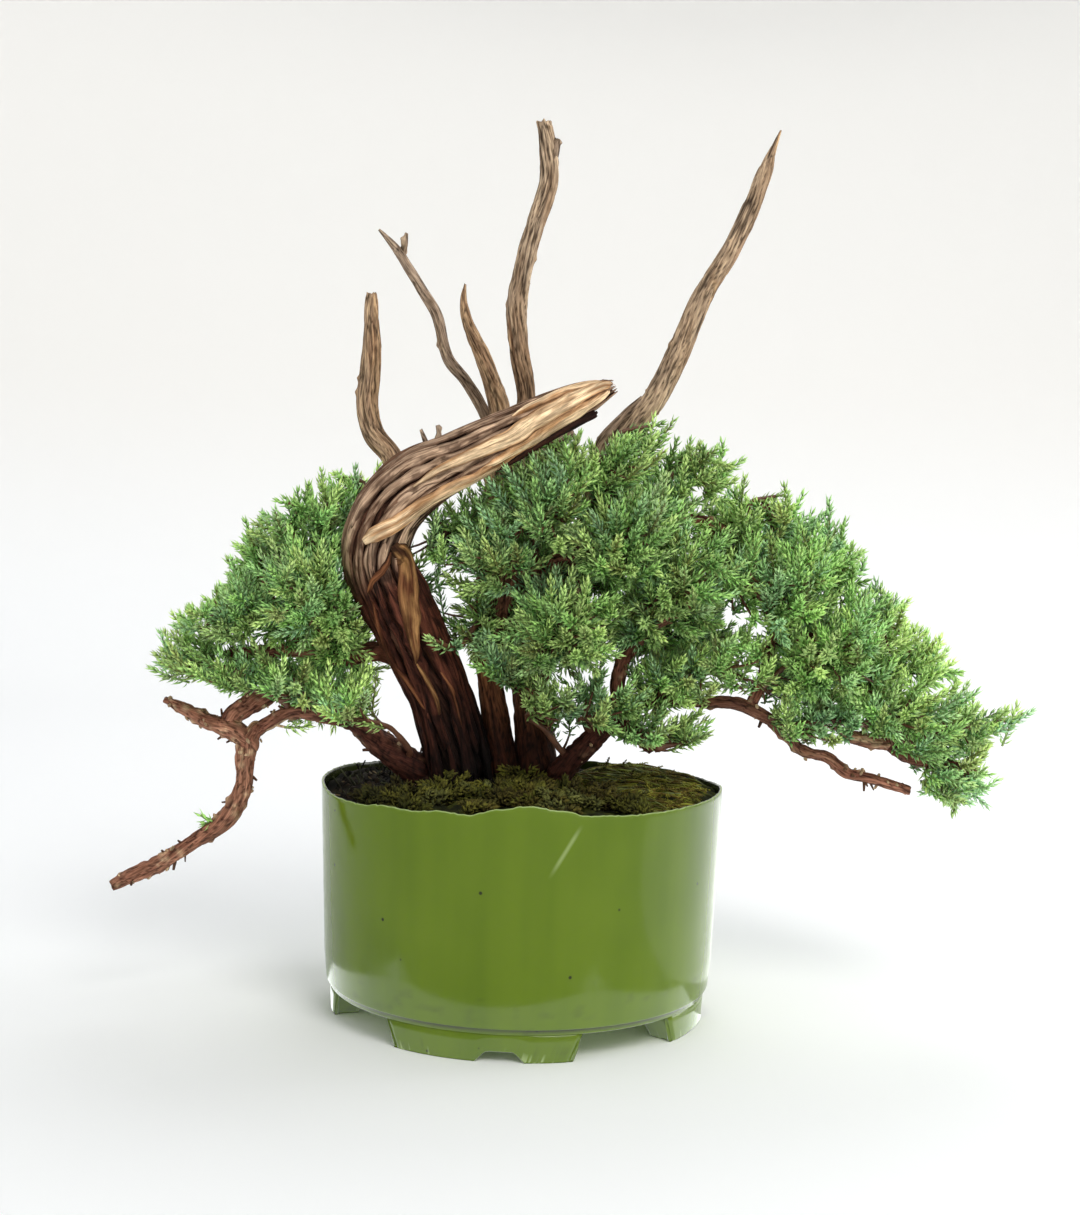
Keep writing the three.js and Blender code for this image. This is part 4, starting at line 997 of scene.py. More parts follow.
def makeDeadWood():
    # The bare upright stems, and the dead twigs.
    greyWood = woodMaterial("greyWood", 1100.0, 0.88, 0.45)
    parts = []
    for i, (name, line) in enumerate(stems.items()):
        toneShift, bareness = stemLook[name]
        look = {"bareness": bareness, "toneShift": toneShift}
        parts.append(woodPart(line, "stem", 20 + i, far=135, least=0.07, knobs=14, **look))
    points, faces, values = joinParts(parts)
    warm = smoothStep(*plantFoot["ruddyBetween"], points[:, 2])[:, None]
    values["tint"] = values["tint"] * (1 + warm * (np.array(plantFoot["ruddy"]) - 1))
    piece = makePiece("stems", (points, faces, values), greyWood, ["woody_plant"])
    print("stems", len(piece.data.polygons))
    lines = enumerate(deadTwigs.values())
    parts = [woodPart(line, "twig", 40 + i, bareness=0.2, knobs=5) for i, line in lines]
    piece = makePiece("deadTwigs", joinParts(parts), greyWood, ["woody_plant"])
    print("dead twigs", len(piece.data.polygons))


def spursAndNubs(line, spurs, nubs, seed):
    # Thin dead spurs and pale cut nubs, scattered over a limb's sides.
    random = np.random.default_rng(seed)
    path, radius, _ = smoothLine(line, 2)
    along, side, other = carriedFrames(path)
    at = random.integers(1, len(path) - 1, spurs + nubs)
    outward = turnedAbout(random.random(spurs + nubs) * 6.3, side[at], other[at])
    skin = path[at] + outward * (radius[at] * 0.8)[:, None]
    length = random.uniform(3, 6.5, (spurs, 1))
    lean = outward[:spurs] + along[at[:spurs]] * random.uniform(0.2, 1.1, (spurs, 1))
    ends = skin[:spurs] + unit(lean) * length
    tint = colour(limbBits["spur"]) * random.uniform(0.5, 1.3, (spurs, 1))
    skin = skin[:spurs]
    spurPart = stemShapes(skin, (skin + ends) / 2, ends, random.uniform(0.8, 1.5, spurs), tint)
    tint = colour(limbBits["nub"]) * random.uniform(0.6, 1.1, (nubs, 1))
    size = random.uniform(0.8, 1.9, (nubs, 1)) * random.uniform(0.8, 1.2, (nubs, 3))
    nubSpots = path[at[spurs:]] + outward[spurs:] * radius[at[spurs:], None]
    size = size * smoothStep(50, 70, np.linalg.norm(nubSpots - plantFoot["place"], axis=1))[:, None] + 0.05
    return [withGrain(spurPart), withGrain(crumbParts(nubSpots, size, tint, random))]


def makeLimbs():
    # The living limbs and the bare ones, with their spurs and nubs.
    parts = []
    for i, (name, line) in enumerate(liveLimbs.items()):
        far, least = limbBits["shade"].get(name, [150, 0.2])
        parts.append(woodPart(line, "limb", 60 + i, far=far, least=least, knobs=14))
    lines = enumerate(bareLimbs.values())
    parts += [woodPart(line, "limb", 90 + i, bareness=0.1, knobs=30) for i, line in lines]
    for firstSeed, rows in ((300, limbBits["on"]), (320, limbBits["more"])):
        for seed, (name, first, spurs, nubs) in enumerate(rows, firstSeed):
            parts += spursAndNubs({**liveLimbs, **bareLimbs}[name][first:], spurs, nubs, seed)
    start, end = (np.array([spot], float) for spot in limbBits["paleTwig"])
    nubTint = colour(limbBits["nub"])[None]
    parts.append(withGrain(stemShapes(start, (start + end) / 2, end, np.array([1.1]), nubTint)))
    material = woodMaterial("redBark", 1100.0, 0.85, 0.5)
    piece = makePiece("limbs", joinParts(parts), material, ["woody_plant"])
    print("limbs", len(piece.data.polygons))


makeTrunk()
makeCrown()
makeDeadWood()
makeLimbs()


# Needles, and the leafy shoots that carry them.
needle = {
    "wide": 0.155, "thick": 0.085, "fullest": 0.42, "curl": 0.16, "leanLow": 64, "leanHigh": 24,
    "rootShade": 0.4, "inWhorl": 3, "whorls": (3, 12), "shoot": "7a6a3c",
    "ring": np.array([[1, 0.4], [-1, 0.4], [0, -1]]),
    "sides": np.array([[0, 2, 1], [0, 3, 2], [0, 1, 3], [1, 2, 4], [2, 3, 4], [3, 1, 4]]),
}


def needleShapes(root, direction, binormal, inward, length, wide, tint, tipTint):
    # Awl-shaped needles: from a point at the root to a three-cornered ring a third of the way up,
    # and on to a sharp tip that curls in towards the shoot. Widths are shares of the length.
    size = length[:, None]
    across = binormal[:, None] * needle["ring"][None, :, :1] * needle["wide"] * wide
    through = inward[:, None] * needle["ring"][None, :, 1:] * needle["thick"] * wide
    corners = (root + direction * size * needle["fullest"])[:, None] + (across + through) * size[..., None]
    tip = root + (direction + inward * needle["curl"]) * size
    points = np.concatenate([root[:, None], corners, tip[:, None]], 1)
    each = points.shape[1]
    faces = (np.arange(len(root))[:, None, None] * each + needle["sides"]).reshape(-1, 3)
    tints = np.repeat(tint[:, None], each, 1)
    # painted shade at each needle's root, where it meets the shoot
    tints[:, 0] *= needle["rootShade"]
    tints[:, -1] = tipTint
    return points.reshape(-1, 3), [faces], {"tint": tints.reshape(-1, 3)}


def leafyShoots(base, direction, length, tint, tipTint, random, rules):
    # The longer the shoot, the more whorls of needles it has.
    whorls = np.clip(np.round(length / rules["gap"]).astype(int), *needle["whorls"])
    parts = []
    for number in np.unique(whorls):
        own = whorls == number
        mine = (values[own] for values in (base, direction, length, tint, tipTint))
        parts.append(evenShoots(*mine, random, rules, number))
    return joinParts(parts)


def evenShoots(base, direction, length, tint, tipTint, random, rules, whorls):
    # Needles in whorls of three up each shoot, every whorl turned against the last, leaning out
    # at the bottom and closing up at the tip. The shoot bends gently upwards.
    count = len(base)
    share = ((np.arange(whorls) + 0.5) / whorls)[None, :]
    ahead = direction[:, None] * (length[:, None] * share)[..., None]
    place = base[:, None] + ahead + up * rules["bend"] * length[:, None, None] * share[..., None] ** 2
    along = unit(direction[:, None] + up * 2 * rules["bend"] * share[..., None])
    side = unit(np.cross(along, np.array([0.36, -0.48, 0.8])))
    other = np.cross(along, side)
    spin = random.random((count, 1, 1)) * 6.3 + np.arange(whorls)[None, :, None] * np.pi / 3
    angle = spin + aroundCircle(needle["inWhorl"])
    angle = angle + random.normal(0, 0.16, angle.shape)
    radial = turnedAbout(angle, side[:, :, None], other[:, :, None])
    lean = np.radians(needle["leanLow"] + (needle["leanHigh"] - needle["leanLow"]) * share[..., None] ** 1.3)
    lean = lean + random.normal(0, 0.09, angle.shape)
    out = along[:, :, None] * np.cos(lean)[..., None] + radial * np.sin(lean)[..., None]
    inward = along[:, :, None] * np.sin(lean)[..., None] - radial * np.cos(lean)[..., None]
    cross = np.cross(out, inward)
    fullness = (1.04 - 0.34 * np.abs(share - 0.35))[..., None]
    size = rules["needle"] * fullness * (0.86 + 0.28 * random.random(angle.shape))
    paler = (share ** 2 * 0.75)[..., None] * np.ones(angle.shape)
    tints = blend(tint[:, None, None], tipTint[:, None, None], paler)
    tints = tints * (0.78 + 0.44 * random.random(angle.shape))[..., None]
    tips = blend(tints, np.broadcast_to(tipTint[:, None, None], tints.shape), 0.6 * np.ones(angle.shape))
    root = place[:, :, None] + radial * 0.2
    vectors = [array.reshape(-1, 3) for array in (root, out, cross, inward)]
    leaves = needleShapes(*vectors, size.ravel(), rules["wide"], tints.reshape(-1, 3), tips.reshape(-1, 3))
    end = base + (direction + up * rules["bend"]) * length[:, None]
    middle = base + direction * length[:, None] * 0.5
    shootTint = blend(tint * 0.8, colour(needle["shoot"]), np.full(count, 0.4))
    return joinParts([leaves, stemShapes(base, middle, end, np.full(count, rules["stem"]), shootTint)])


# The foliage: a twig for each spray, branchlets on the twigs, shoots on the branchlets.
foliage = {
    # how the shoots are placed, thinned and sized
    "tries": 60000, "near": 13, "far": 41, "spacing": 13.5, "sideSpacing": 8.0, "endLength": [18, 31],
    "sideLength": [12, 22], "fingerLength": [20, 29], "sideShoots": 5, "depth": (-112, 114),
    "fingerDepth": (-20, 20), "sideShare": (0.3, 1.25), "sideAhead": 0.85, "sideUp": 0.25,
    "farRight": {"from": 325, "depth": -18},  # the furthest shoot on the right stands nearer the camera
    "rules": {"gap": 2.8, "bend": 0.1, "needle": 7.0, "wide": 1.0, "stem": 0.8}, "seed": 4,
    # what they keep clear of
    "massSize": 0.972, "edgeGap": 6, "sideGap": 8, "windowGap": 3, "peekBehind": 0, "trunkGap": 2,
    "potReach": 145, "lowestOverPot": 160, "lowest": 130,
    # how the twigs run, and where the branchlets leave them and head for
    "heart": np.array([-15, 0, 235.0]), "twigRise": 0.28, "twigEnd": (29, 0.6), "twigKnee": 0.3,
    "twigArch": 0.06, "twigRadii": (2.2, 2.0, 1.8, 1.5, 1.0), "twigBare": 0.2, "rootBack": 3,
    "lastRoot": -9, "onTheWay": (0.25, 0.5, 0.75), "outward": 0.5, "upward": 0.3, "wander": 0.2,
    "underMiddle": 20,
    "deep": "507f45", "mid": "93cb69", "blue": "a2d3aa", "fresh": "d6f08c", "old": "7d7a3e",
    "twig": "6b4632",
}
sprayTips = [
    [-128, 25, 342], [-162, 5, 324], [-190, 20, 294], [-205, -10, 260], [-239, 5, 222], [-203, -20, 212],
    [-157, -34, 206], [-111, -46, 193], [-140, -42, 273], [-118, 32, 282], [-191, 75, 278],
    [-147, 62, 229], [-63, -12, 314], [-60, -53, 243], [-10, -52, 222], [15, -58, 201], [27, 6, 369],
    [55, -22, 360], [84, 10, 380], [124, 5, 364], [19, -52, 327], [68, -58, 313], [27, -74, 255],
    [109, -46, 283], [140, -32, 231], [80, -46, 179], [115, -28, 183], [50, -50, 198], [-17, -48, 299],
    [7, 86, 311], [76, 96, 326], [50, 102, 259], [122, 70, 249], [165, 10, 337], [214, 15, 297],
    [244, 5, 265], [270, 12, 242], [329, 5, 199], [301, -6, 160], [281, 0, 137], [165, -36, 287],
    [203, -34, 244], [177, -26, 185], [251, -22, 200], [184, 62, 293], [226, 52, 233],
]
# The edge of each mass of foliage as the camera sees it: x and z on the plane through the pot's axis.
masses = {
    "left": [[-147, 334], [-133, 346], [-114, 347], [-93, 339], [-83, 326], [-96, 287], [-100, 262],
             [-94, 244], [-89, 219], [-98, 201], [-114, 186], [-134, 184], [-162, 199], [-192, 204],
             [-221, 209], [-241, 215], [-236, 237], [-228, 249], [-201, 264], [-193, 286], [-182, 309]],
    "middle": [[-68, 326], [-38, 345], [-10, 360], [14, 370], [27, 374], [40, 364], [60, 376], [79, 382],
               [90, 382], [96, 369], [121, 368], [133, 357], [137, 337], [147, 307], [143, 268],
               [154, 243], [149, 224], [124, 199], [123, 178], [102, 174], [82, 170], [57, 176],
               [43, 187], [22, 194], [-3, 194], [-10, 212], [-32, 218], [-53, 225], [-69, 233],
               [-61, 270], [-69, 286]],
    "right": [[134, 357], [136, 340], [143, 330], [163, 341], [176, 336], [195, 333], [204, 322],
              [213, 302], [227, 279], [244, 271], [245, 256], [266, 248], [277, 231], [291, 213],
              [300, 196], [317, 203], [332, 200], [312, 189], [298, 163], [309, 157], [299, 138],
              [279, 134], [260, 145], [271, 161], [250, 173], [223, 187], [203, 178], [182, 176],
              [169, 182], [151, 206], [144, 242], [139, 294]],
}
# Twigs that leave their limb at a place of their own.
twigStarts = {
    26: [62, -24, 188], 27: [83, -30, 174], 39: [271, 2, 166], 40: [262, 3, 167], 43: [150, -12, 197],
}
# Shoots that stand out from the edge of the masses: where each ends, x and z, and its slope in degrees.
fingers = [
    [-242, 214, 168], [-236, 237, 121], [-228, 249, 137], [-215, 254, 110], [-200, 264, 121],
    [-193, 285, 140], [-182, 310, 118], [-160, 313, 122], [-142, 335, 88], [-134, 344, 101],
    [-122, 343, 84], [-112, 346, 91], [-97, 348, 74], [-192, 202, -106], [-183, 203, -85],
    [-232, 208, -157], [-88, 219, 9], [-99, 204, 18], [-123, 178, -96], [-95, 247, 33], [-147, 184, -100],
    [-139, 181, -75], [-131, 180, -90], [-115, 182, -70], [-107, 188, -50], [-156, 187, -110],
    [-150, 186, -60], [91, 382, 52], [78, 384, 82], [102, 370, 76], [108, 367, 92], [122, 369, 89],
    [136, 358, 28], [135, 339, 69], [31, 372, 71], [22, 372, 92], [38, 366, 101], [57, 371, 106],
    [163, 342, 98], [175, 337, 65], [192, 334, 86], [203, 321, 70], [215, 301, 23], [210, 291, 82],
    [227, 279, 97], [245, 270, 39], [245, 255, 71], [258, 250, 90], [267, 247, 78], [276, 232, 34],
    [277, 220, 100], [292, 213, 32], [318, 205, 71], [331, 201, 25], [308, 156, 33], [301, 139, -48],
    [280, 134, -91], [259, 146, -163], [145, 332, 99],
]
# Single shoots on bare wood: the spray each belongs to, its root, its direction and its length.
strays = [[5, [-153, -13, 179.5], [1, -0.1, -0.02], 16], [6, [-197, -17, 117], [-0.75, -0.2, 0.45], 9],
          [6, [-196, -16, 118], [-0.5, -0.3, -0.1], 7]]
# Where the background shows through: x, z and radius.
windows = [[-54, 264, 5], [-31, 279, 4], [43, 269, 4], [55, 252, 4], [96, 243, 4], [137, 260, 6],
           [144, 224, 8], [59, 219, 4]]
# Where a limb shows between the shoots: x, z and radius.
peeks = [[-17, 262, 8], [-14, 276, 9], [-10, 287, 8], [6, 286, 7], [22, 292, 6], [58, 210, 7], [150, 201, 6]]


def insideOutline(spots, outline):
    # A spot is inside when a level ray from it crosses the outline an odd number of times.
    corners = np.array(outline, float)
    following = np.roll(corners, -1, 0)
    x, z = spots[:, None, 0], spots[:, None, 1]
    spans = (corners[:, 1] > z) != (following[:, 1] > z)
    run, rise = (following - corners).T
    slope = run / np.where(rise == 0, 1e-9, rise)
    return (spans & (x < corners[:, 0] + (z - corners[:, 1]) * slope)).sum(1) % 2 == 1


def clearOfTrunk(spots):
    # Nothing leafy stands in front of the trunk.
    path, radius, _ = smoothLine(trunkLine, 6)
    gap = np.linalg.norm(seenFromFront(spots)[:, None] - seenFromFront(path), axis=-1)
    return ~((gap < radius + foliage["trunkGap"]) & (spots[:, None, 1] < path[:, 1] + 8)).any(1)


def limbSamples():
    # Points along all the living limbs, and the limb's radius at each.
    lines = [smoothLine(line, 4) for line in liveLimbs.values()]
    return np.vstack([path for path, _, _ in lines]), np.concatenate([radius for _, radius, _ in lines])


def sprayTwigs():
    # Each twig starts in the limb nearest to its solid, arches over and ends in the spray's tip.
    samples, sizes = limbSamples()
    twigs = []
    for i, tip in enumerate(sprayTips):
        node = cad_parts[f"spray_{i + 1:02d}"]
        spots = np.empty(len(node.data.vertices) * 3, np.float32)
        node.data.vertices.foreach_get("co", spots)
        spots = (spots.reshape(-1, 3) - potAxis) / mm
        gap = np.linalg.norm(spots[:, None] - samples, axis=-1) - sizes
        nearest, limb = np.unravel_index(gap.argmin(), gap.shape)
        tip = np.array(tip, float)
        lead = unit(np.append(unit((tip - foliage["heart"])[:2]), foliage["twigRise"]))
        start = samples[limb]
        own = twigStarts.get(i + 1)
        if own:
            start = np.array(own, float)
            lead = unit(tip - start)
        longest, share = foliage["twigEnd"]
        end = tip - lead * min(longest, share * np.linalg.norm(tip - start))
        reach = np.linalg.norm(end - start)
        knee = start + (spots[nearest] - start) * min(2.0, 1 + 5 / reach)
        if own:
            knee = start + (end - start) * foliage["twigKnee"]
        arch = (knee + end) * 0.5 + up * reach * foliage["twigArch"]
        knots = zip((start, knee, arch, end, tip - lead * foliage["edgeGap"]), foliage["twigRadii"])
        twigs.append(smoothLine([[*place, radius] for place, radius in knots], 3))
    return twigs


def inView(tips):
    # Where a shoot may end: inside a mass as the camera sees it, off the windows, off the trunk's
    # front, inside the plant's overall size and clear of the pot.
    seen = seenFromFront(tips)
    keep = np.zeros(len(tips), bool)
    for outline in masses.values():
        middle = np.mean(outline, 0)
        keep |= insideOutline(seen, middle + (np.array(outline) - middle) * foliage["massSize"])
    for x, z, wide in windows:
        keep &= np.linalg.norm(seen - [x, z], axis=1) > wide + foliage["windowGap"]
    for x, z, wide in peeks:
        keep &= (np.linalg.norm(seen - [x, z], axis=1) > wide) | (tips[:, 1] > foliage["peekBehind"])
    overPot = np.linalg.norm(tips[:, :2], axis=1) < foliage["potReach"]
    keep &= tips[:, 2] > np.where(overPot, foliage["lowestOverPot"], foliage["lowest"])
    keep &= np.abs(tips[:, 1]) < highBound[1] - foliage["edgeGap"]
    return keep & clearOfTrunk(tips) & (tips[:, 0] < highBound[0] - foliage["sideGap"])


def thinned(tips, order, spacing, taken):
    # Keeps the tips, in that order, that are no closer than the spacing to any kept before.
    store = np.full((len(taken) + len(order), 3), 1e6)
    store[:len(taken)] = taken
    held = len(taken)
    chosen = []
    for index in order:
        if np.sum((store[:held] - tips[index]) ** 2, 1).min(initial=1e9) > spacing ** 2:
            store[held] = tips[index]
            held += 1
            chosen.append(index)
    return np.array(chosen, int), store[:held]


def massCentres():
    # The mean of each outline's corners.
    return np.array([np.mean(outline, 0) for outline in masses.values()])


def placeBranchlets(twigs, random):
    # Tips are tried at random all through the masses, kept where a twig is near enough to feed
    # them, and thinned out evenly. Each branchlet leaves its twig a little way back.
    count = foliage["tries"]
    corners = np.vstack([np.array(outline, float) for outline in masses.values()])
    plane = corners.min(0) + (corners.max(0) - corners.min(0)) * random.random((count, 2))
    tips = atDepth(plane, random.uniform(*foliage["depth"], count))
    tips = tips[inView(tips)]
    outer = [np.arange(int(len(path) * foliage["twigBare"]), len(path)) for path, _, _ in twigs]
    samples = np.vstack([path[own] for (path, _, _), own in zip(twigs, outer)])
    owners = np.repeat(np.arange(len(twigs)), [len(own) for own in outer])
    places = np.concatenate(outer)
    squares = (tips ** 2).sum(1)[:, None] + (samples ** 2).sum(1) - 2 * tips @ samples.T
    nearest = squares.argmin(1)
    gap = np.sqrt(np.maximum(squares[np.arange(len(tips)), nearest], 0))
    fits = (gap > foliage["near"]) & (gap < foliage["far"])
    for share in foliage["onTheWay"]:
        fits &= clearOfTrunk(samples[nearest] + (tips - samples[nearest]) * share)
    order = np.flatnonzero(fits)
    chosen, taken = thinned(tips, order, foliage["spacing"], np.empty((0, 3)))
    owner, tips = owners[nearest[chosen]], tips[chosen]
    back = np.maximum(places[nearest[chosen]] - foliage["rootBack"], 0)
    root = np.array([twigs[i][0][place] for i, place in zip(owner, back)])
    seen = seenFromFront(tips)
    centres = massCentres()
    middle = centres[np.linalg.norm(seen[:, None] - centres, axis=-1).argmin(1)]
    away = unit(tips - stacked(middle[:, 0], 0, middle[:, 1] - foliage["underMiddle"]))
    heading = unit(tips - root) + foliage["outward"] * away + foliage["upward"] * up
    heading = unit(heading + random.normal(0, foliage["wander"], tips.shape))
    leads = np.array([unit(path[-1] - path[-3]) for path, _, _ in twigs])
    ends = np.minimum(np.array(sprayTips, float), highBound - foliage["edgeGap"])
    owner = np.concatenate([owner, np.arange(len(twigs))])
    root = np.vstack([root, [path[foliage["lastRoot"]] for path, _, _ in twigs]])
    return owner, root, np.vstack([tips, ends]), np.vstack([heading, leads]), taken


def fingerShoots(twigs, random):
    # Each stands near the plane through the pot's axis, and belongs to the twig that is nearest.
    plane = np.array(fingers, float)
    count = len(plane)
    depth = random.uniform(*foliage["fingerDepth"], count)
    depth = np.where(plane[:, 0] > foliage["farRight"]["from"], foliage["farRight"]["depth"], depth)
    tips = np.minimum(atDepth(plane[:, :2], depth), highBound - foliage["edgeGap"])
    slope = np.radians(plane[:, 2])
    heading = unit(stacked(np.cos(slope), random.normal(0, foliage["wander"], count), np.sin(slope)))
    length = random.uniform(*foliage["fingerLength"], count)
    base = tips - (heading + up * foliage["rules"]["bend"]) * length[:, None]
    gaps = [[np.linalg.norm(path - spot, axis=1).min() for path, _, _ in twigs] for spot in base]
    return np.argmin(gaps, 1), base, heading, length


def placeShoots(twigs, random):
    # Every branchlet ends in a shoot, and side shoots leave it all round on the way, leaning ahead.
    owner, root, tips, heading, taken = placeBranchlets(twigs, random)
    count = len(tips)
    longest = np.linalg.norm(tips - root, axis=1) * 0.9
    length = np.minimum(random.uniform(*foliage["endLength"], count), longest)
    base = tips - (heading + up * foliage["rules"]["bend"]) * length[:, None]
    knee = root * 0.4 + base * 0.6 - up * 1.5
    number = foliage["sideShoots"]
    share = np.linspace(*foliage["sideShare"], number)[None, :, None] * np.ones((count, number, 1))
    onStem = curveAt(root[:, None], knee[:, None], base[:, None], np.minimum(share, 1))
    sideBase = onStem + heading[:, None] * length[:, None, None] * np.maximum(share - 1, 0)
    sprout = random.normal(0, 1, (count, number, 3))
    radial = unit(sprout - heading[:, None] * (sprout * heading[:, None]).sum(-1, keepdims=True))
    sideHeading = heading[:, None] * foliage["sideAhead"] + radial + foliage["sideUp"] * up
    sideHeading = unit(sideHeading).reshape(-1, 3)
    sideLength = random.uniform(*foliage["sideLength"], count * number)
    sideBase = sideBase.reshape(-1, 3)
    sideTips = sideBase + sideHeading * sideLength[:, None]
    order = random.permutation(np.flatnonzero(inView(sideTips)))
    chosen, _ = thinned(sideTips, order, foliage["sideSpacing"], taken)
    stems = (owner, root, knee, base + heading * 2)
    stray = [np.array(column, float) for column in zip(*strays)]
    groups = (
        (owner, base, heading, length),
        (np.repeat(owner, number)[chosen], sideBase[chosen], sideHeading[chosen], sideLength[chosen]),
        (stray[0].astype(int) - 1, stray[1], unit(stray[2]), stray[3]),
        fingerShoots(twigs, random),
    )
    return stems, [np.concatenate(column) for column in zip(*groups)]


def shootTints(tips, random):
    # Patches of blue-green and of fresh yellow-green growth, some older brownish shoots, and each
    # shoot a little different; painted shade makes the shoots near the middle darker than those at the sides.
    count = len(tips)
    fresh = smoothStep(0.44, 0.72, layered(tips / 30.0, 41, 2) + 0.13 * random.normal(0, 1, count))
    bluish = smoothStep(0.45, 0.75, layered(tips / 22.0, 47, 2) + 0.13 * random.normal(0, 1, count))
    tint = blend(colour(foliage["mid"]), colour(foliage["blue"]), bluish * 0.75)
    tint = blend(tint, colour(foliage["deep"]), random.random(count) * 0.75)
    tint = blend(tint, colour(foliage["fresh"]), fresh * 0.4)
    tint = blend(tint, colour(foliage["old"]), (random.random(count) < 0.12) * 0.7)
    tipTint = blend(colour(foliage["mid"]), colour(foliage["blue"]), bluish * 0.8)
    tipTint = blend(tipTint, colour(foliage["fresh"]), 0.35 + fresh * 0.6)
    # painted light: shoots far out to either side are lighter than those near the middle
    light = 1 + 0.22 * smoothStep(60, 130, np.abs(tips[:, :1] - 30))
    light = light * (0.68 + 0.6 * random.random((count, 1)))
    return tint * light, tipTint * light


def makeFoliage():
    # One piece for each spray: its twig, its branchlets and its leafy shoots.
    random = np.random.default_rng(foliage["seed"])
    twigs = sprayTwigs()
    stems, (owner, base, heading, length) = placeShoots(twigs, random)
    tint, tipTint = shootTints(base + heading * length[:, None], random)
    material = needleMaterial()
    twigColour = colour(foliage["twig"])
    for i, (path, radius, _) in enumerate(twigs):
        mine = owner == i
        own = [values[mine] for values in (base, heading, length, tint, tipTint)]
        shoots = leafyShoots(*own, random, foliage["rules"])
        start, knee, end = (points[stems[0] == i] for points in stems[1:])
        twigTint = twigColour * (0.7 + 0.5 * random.random((len(start), 1)))
        branchlets = stemShapes(start, knee, end, np.ones(len(start)), twigTint)
        part = joinParts([shoots, branchlets, plainTube(path, radius, 8, twigColour)])
        makePiece(f"spray{i + 1:02d}", part, material, [f"spray_{i + 1:02d}"])
    print("sprays", len(twigs), "branchlets", len(stems[0]), "shoots", len(owner))


def plainTube(path, radius, columns, tint):
    # A round, slightly knobbly tube of one tint along a path.
    _, side, other = carriedFrames(path)
    outward = turnedAbout(aroundCircle(columns)[None, :], side[:, None], other[:, None])
    swell = 0.8 + 0.5 * noise(path[:, None] / 3 + outward, 71)
    points = path[:, None] + outward * (radius[:, None] * swell)[..., None]
    tints = tint * (0.6 + 0.7 * noise(points / 2.5, 72))[..., None]
    return capped(points, {"tint": tints}, len(path), columns)


makeFoliage()


# The soil, and the two mats of moss that lie on it.
ground = {
    "top": 137, "gap": 0.35, "columns": 300, "rings": 90, "lumps": 1.6, "clods": 3.4,
    "heaps": [[-15, -5, 66, 36, 6.5], [-104, 30, 34, 54, 8.5]],  # x, y, reach in x and in y, and height
    "edge": 122, "crumbs": 2600, "litter": 260, "litterSize": ((1.6, 3), (0.7, 0.9), (0.25, 0.3)),
    "blades": 420, "bladeArc": (-178, -52), "bladeLength": (5, 15), "seed": 21,
    "earth": "17120d", "earthLight": "3a2c20", "chip": "8c7a5c", "leaf": "7a6748", "blade": "565940",
}
mossMats = {
    "mossFront": {
        "node": "moss_front", "from": -62, "to": 48, "inner": [64, 46, 64], "thick": 5, "strands": 440,
        "perTuft": 8, "spread": 2.0, "reach": [-0.7, 0.95], "length": [13, 34], "rise": 1.25,
        "toward": [0, -0.1, 0], "light": 0.8, "fibres": 0, "seed": 31,
        "rules": {"gap": 3.1, "bend": -0.42, "needle": 5.8, "wide": 1.75, "stem": 0.8},
    },
    "mossRight": {
        "node": "moss_right", "from": 52, "to": 158, "inner": [66, 54, 42], "thick": 7.5, "strands": 330,
        "perTuft": 3, "spread": 3.0, "reach": [-0.2, 0.95], "length": [9, 20], "rise": 0.14,
        "toward": [0.9, -0.8, 0], "light": 1.85, "fibres": 1500, "seed": 32,
        "rules": {"gap": 1.9, "bend": -0.1, "needle": 1.9, "wide": 1.8, "stem": 0.5},
    },
}
mossSheet = {
    "columns": 200, "rows": 50, "edge": 1.5, "wallGap": 0.6, "under": 6, "lift": 0.5, "lumps": 2.5,
    "nap": 3.0, "strandReach": 121.5, "fibreReach": 120, "fibreLength": (10, 30),
    "fibreRadius": (0.35, 0.85),
}
mossLook = {"deep": "23260d", "olive": "5f6420", "yellow": "98933c", "brown": "6b5429", "grey": "6c7550"}


def lumps(x, y):
    # Gentle lumps from three crossed waves.
    return (np.sin(x * 0.11 + y * 0.05) + np.sin(y * 0.13 - x * 0.04 + 2) + np.sin((x + y) * 0.21)) / 3


def insideWall(z):
    # How far out the soil may reach at a height, just inside the pot's wall.
    return wallRadius(z) - pot["wall"] - ground["gap"]


def soilHeight(x, y):
    # The soil's top: the lumps, with clods and grains, a mound round the stems and a heap on the left.
    spots = np.stack([x, y, np.zeros_like(x)], -1)
    clods = layered(spots / 9.0, 51, 4) - 0.5
    height = ground["top"] + ground["lumps"] * (lumps(x, y) - 1) + ground["clods"] * clods
    for atX, atY, wide, deep, high in ground["heaps"]:
        height = height + high * np.exp(-((x - atX) ** 2 / wide ** 2 + (y - atY) ** 2 / deep ** 2))
    return height


def onSoil(azimuth, radius):
    # Points on the soil's top.
    spots = polar(azimuth, radius, 0.0)
    spots[..., 2] = soilHeight(spots[..., 0], spots[..., 1])
    return spots


def soilPart():
    # One closed solid, from the middle of its underside out, up the wall and in over the top.
    azimuth = aroundCircle(ground["columns"])[None, :]
    low = pot["floorTop"] + ground["gap"]
    side = np.array([[0.5, low], [60, low], [117.5, low], [120.8, 25], [insideWall(46) - 1, 46],
                     [insideWall(90), 90], [insideWall(130), 130]])
    reach = np.linspace(insideWall(ground["top"]), 0.6, ground["rings"])[:, None]
    points = np.concatenate([polar(azimuth, side[:, :1], side[:, 1:]), onSoil(azimuth, reach)])
    wet = layered(points / 14.0, 55)
    tint = blend(colour(ground["earth"]), colour(ground["earthLight"]), smoothStep(0.45, 0.75, wet))
    return capped(points, {"tint": tint}, len(points), ground["columns"])


def scattered(count, random):
    # Evenly spread spots on the soil, inside the wall.
    radius = np.sqrt(random.random(count)) * (ground["edge"] - 1)
    return onSoil(random.random(count) * fullTurn, radius)


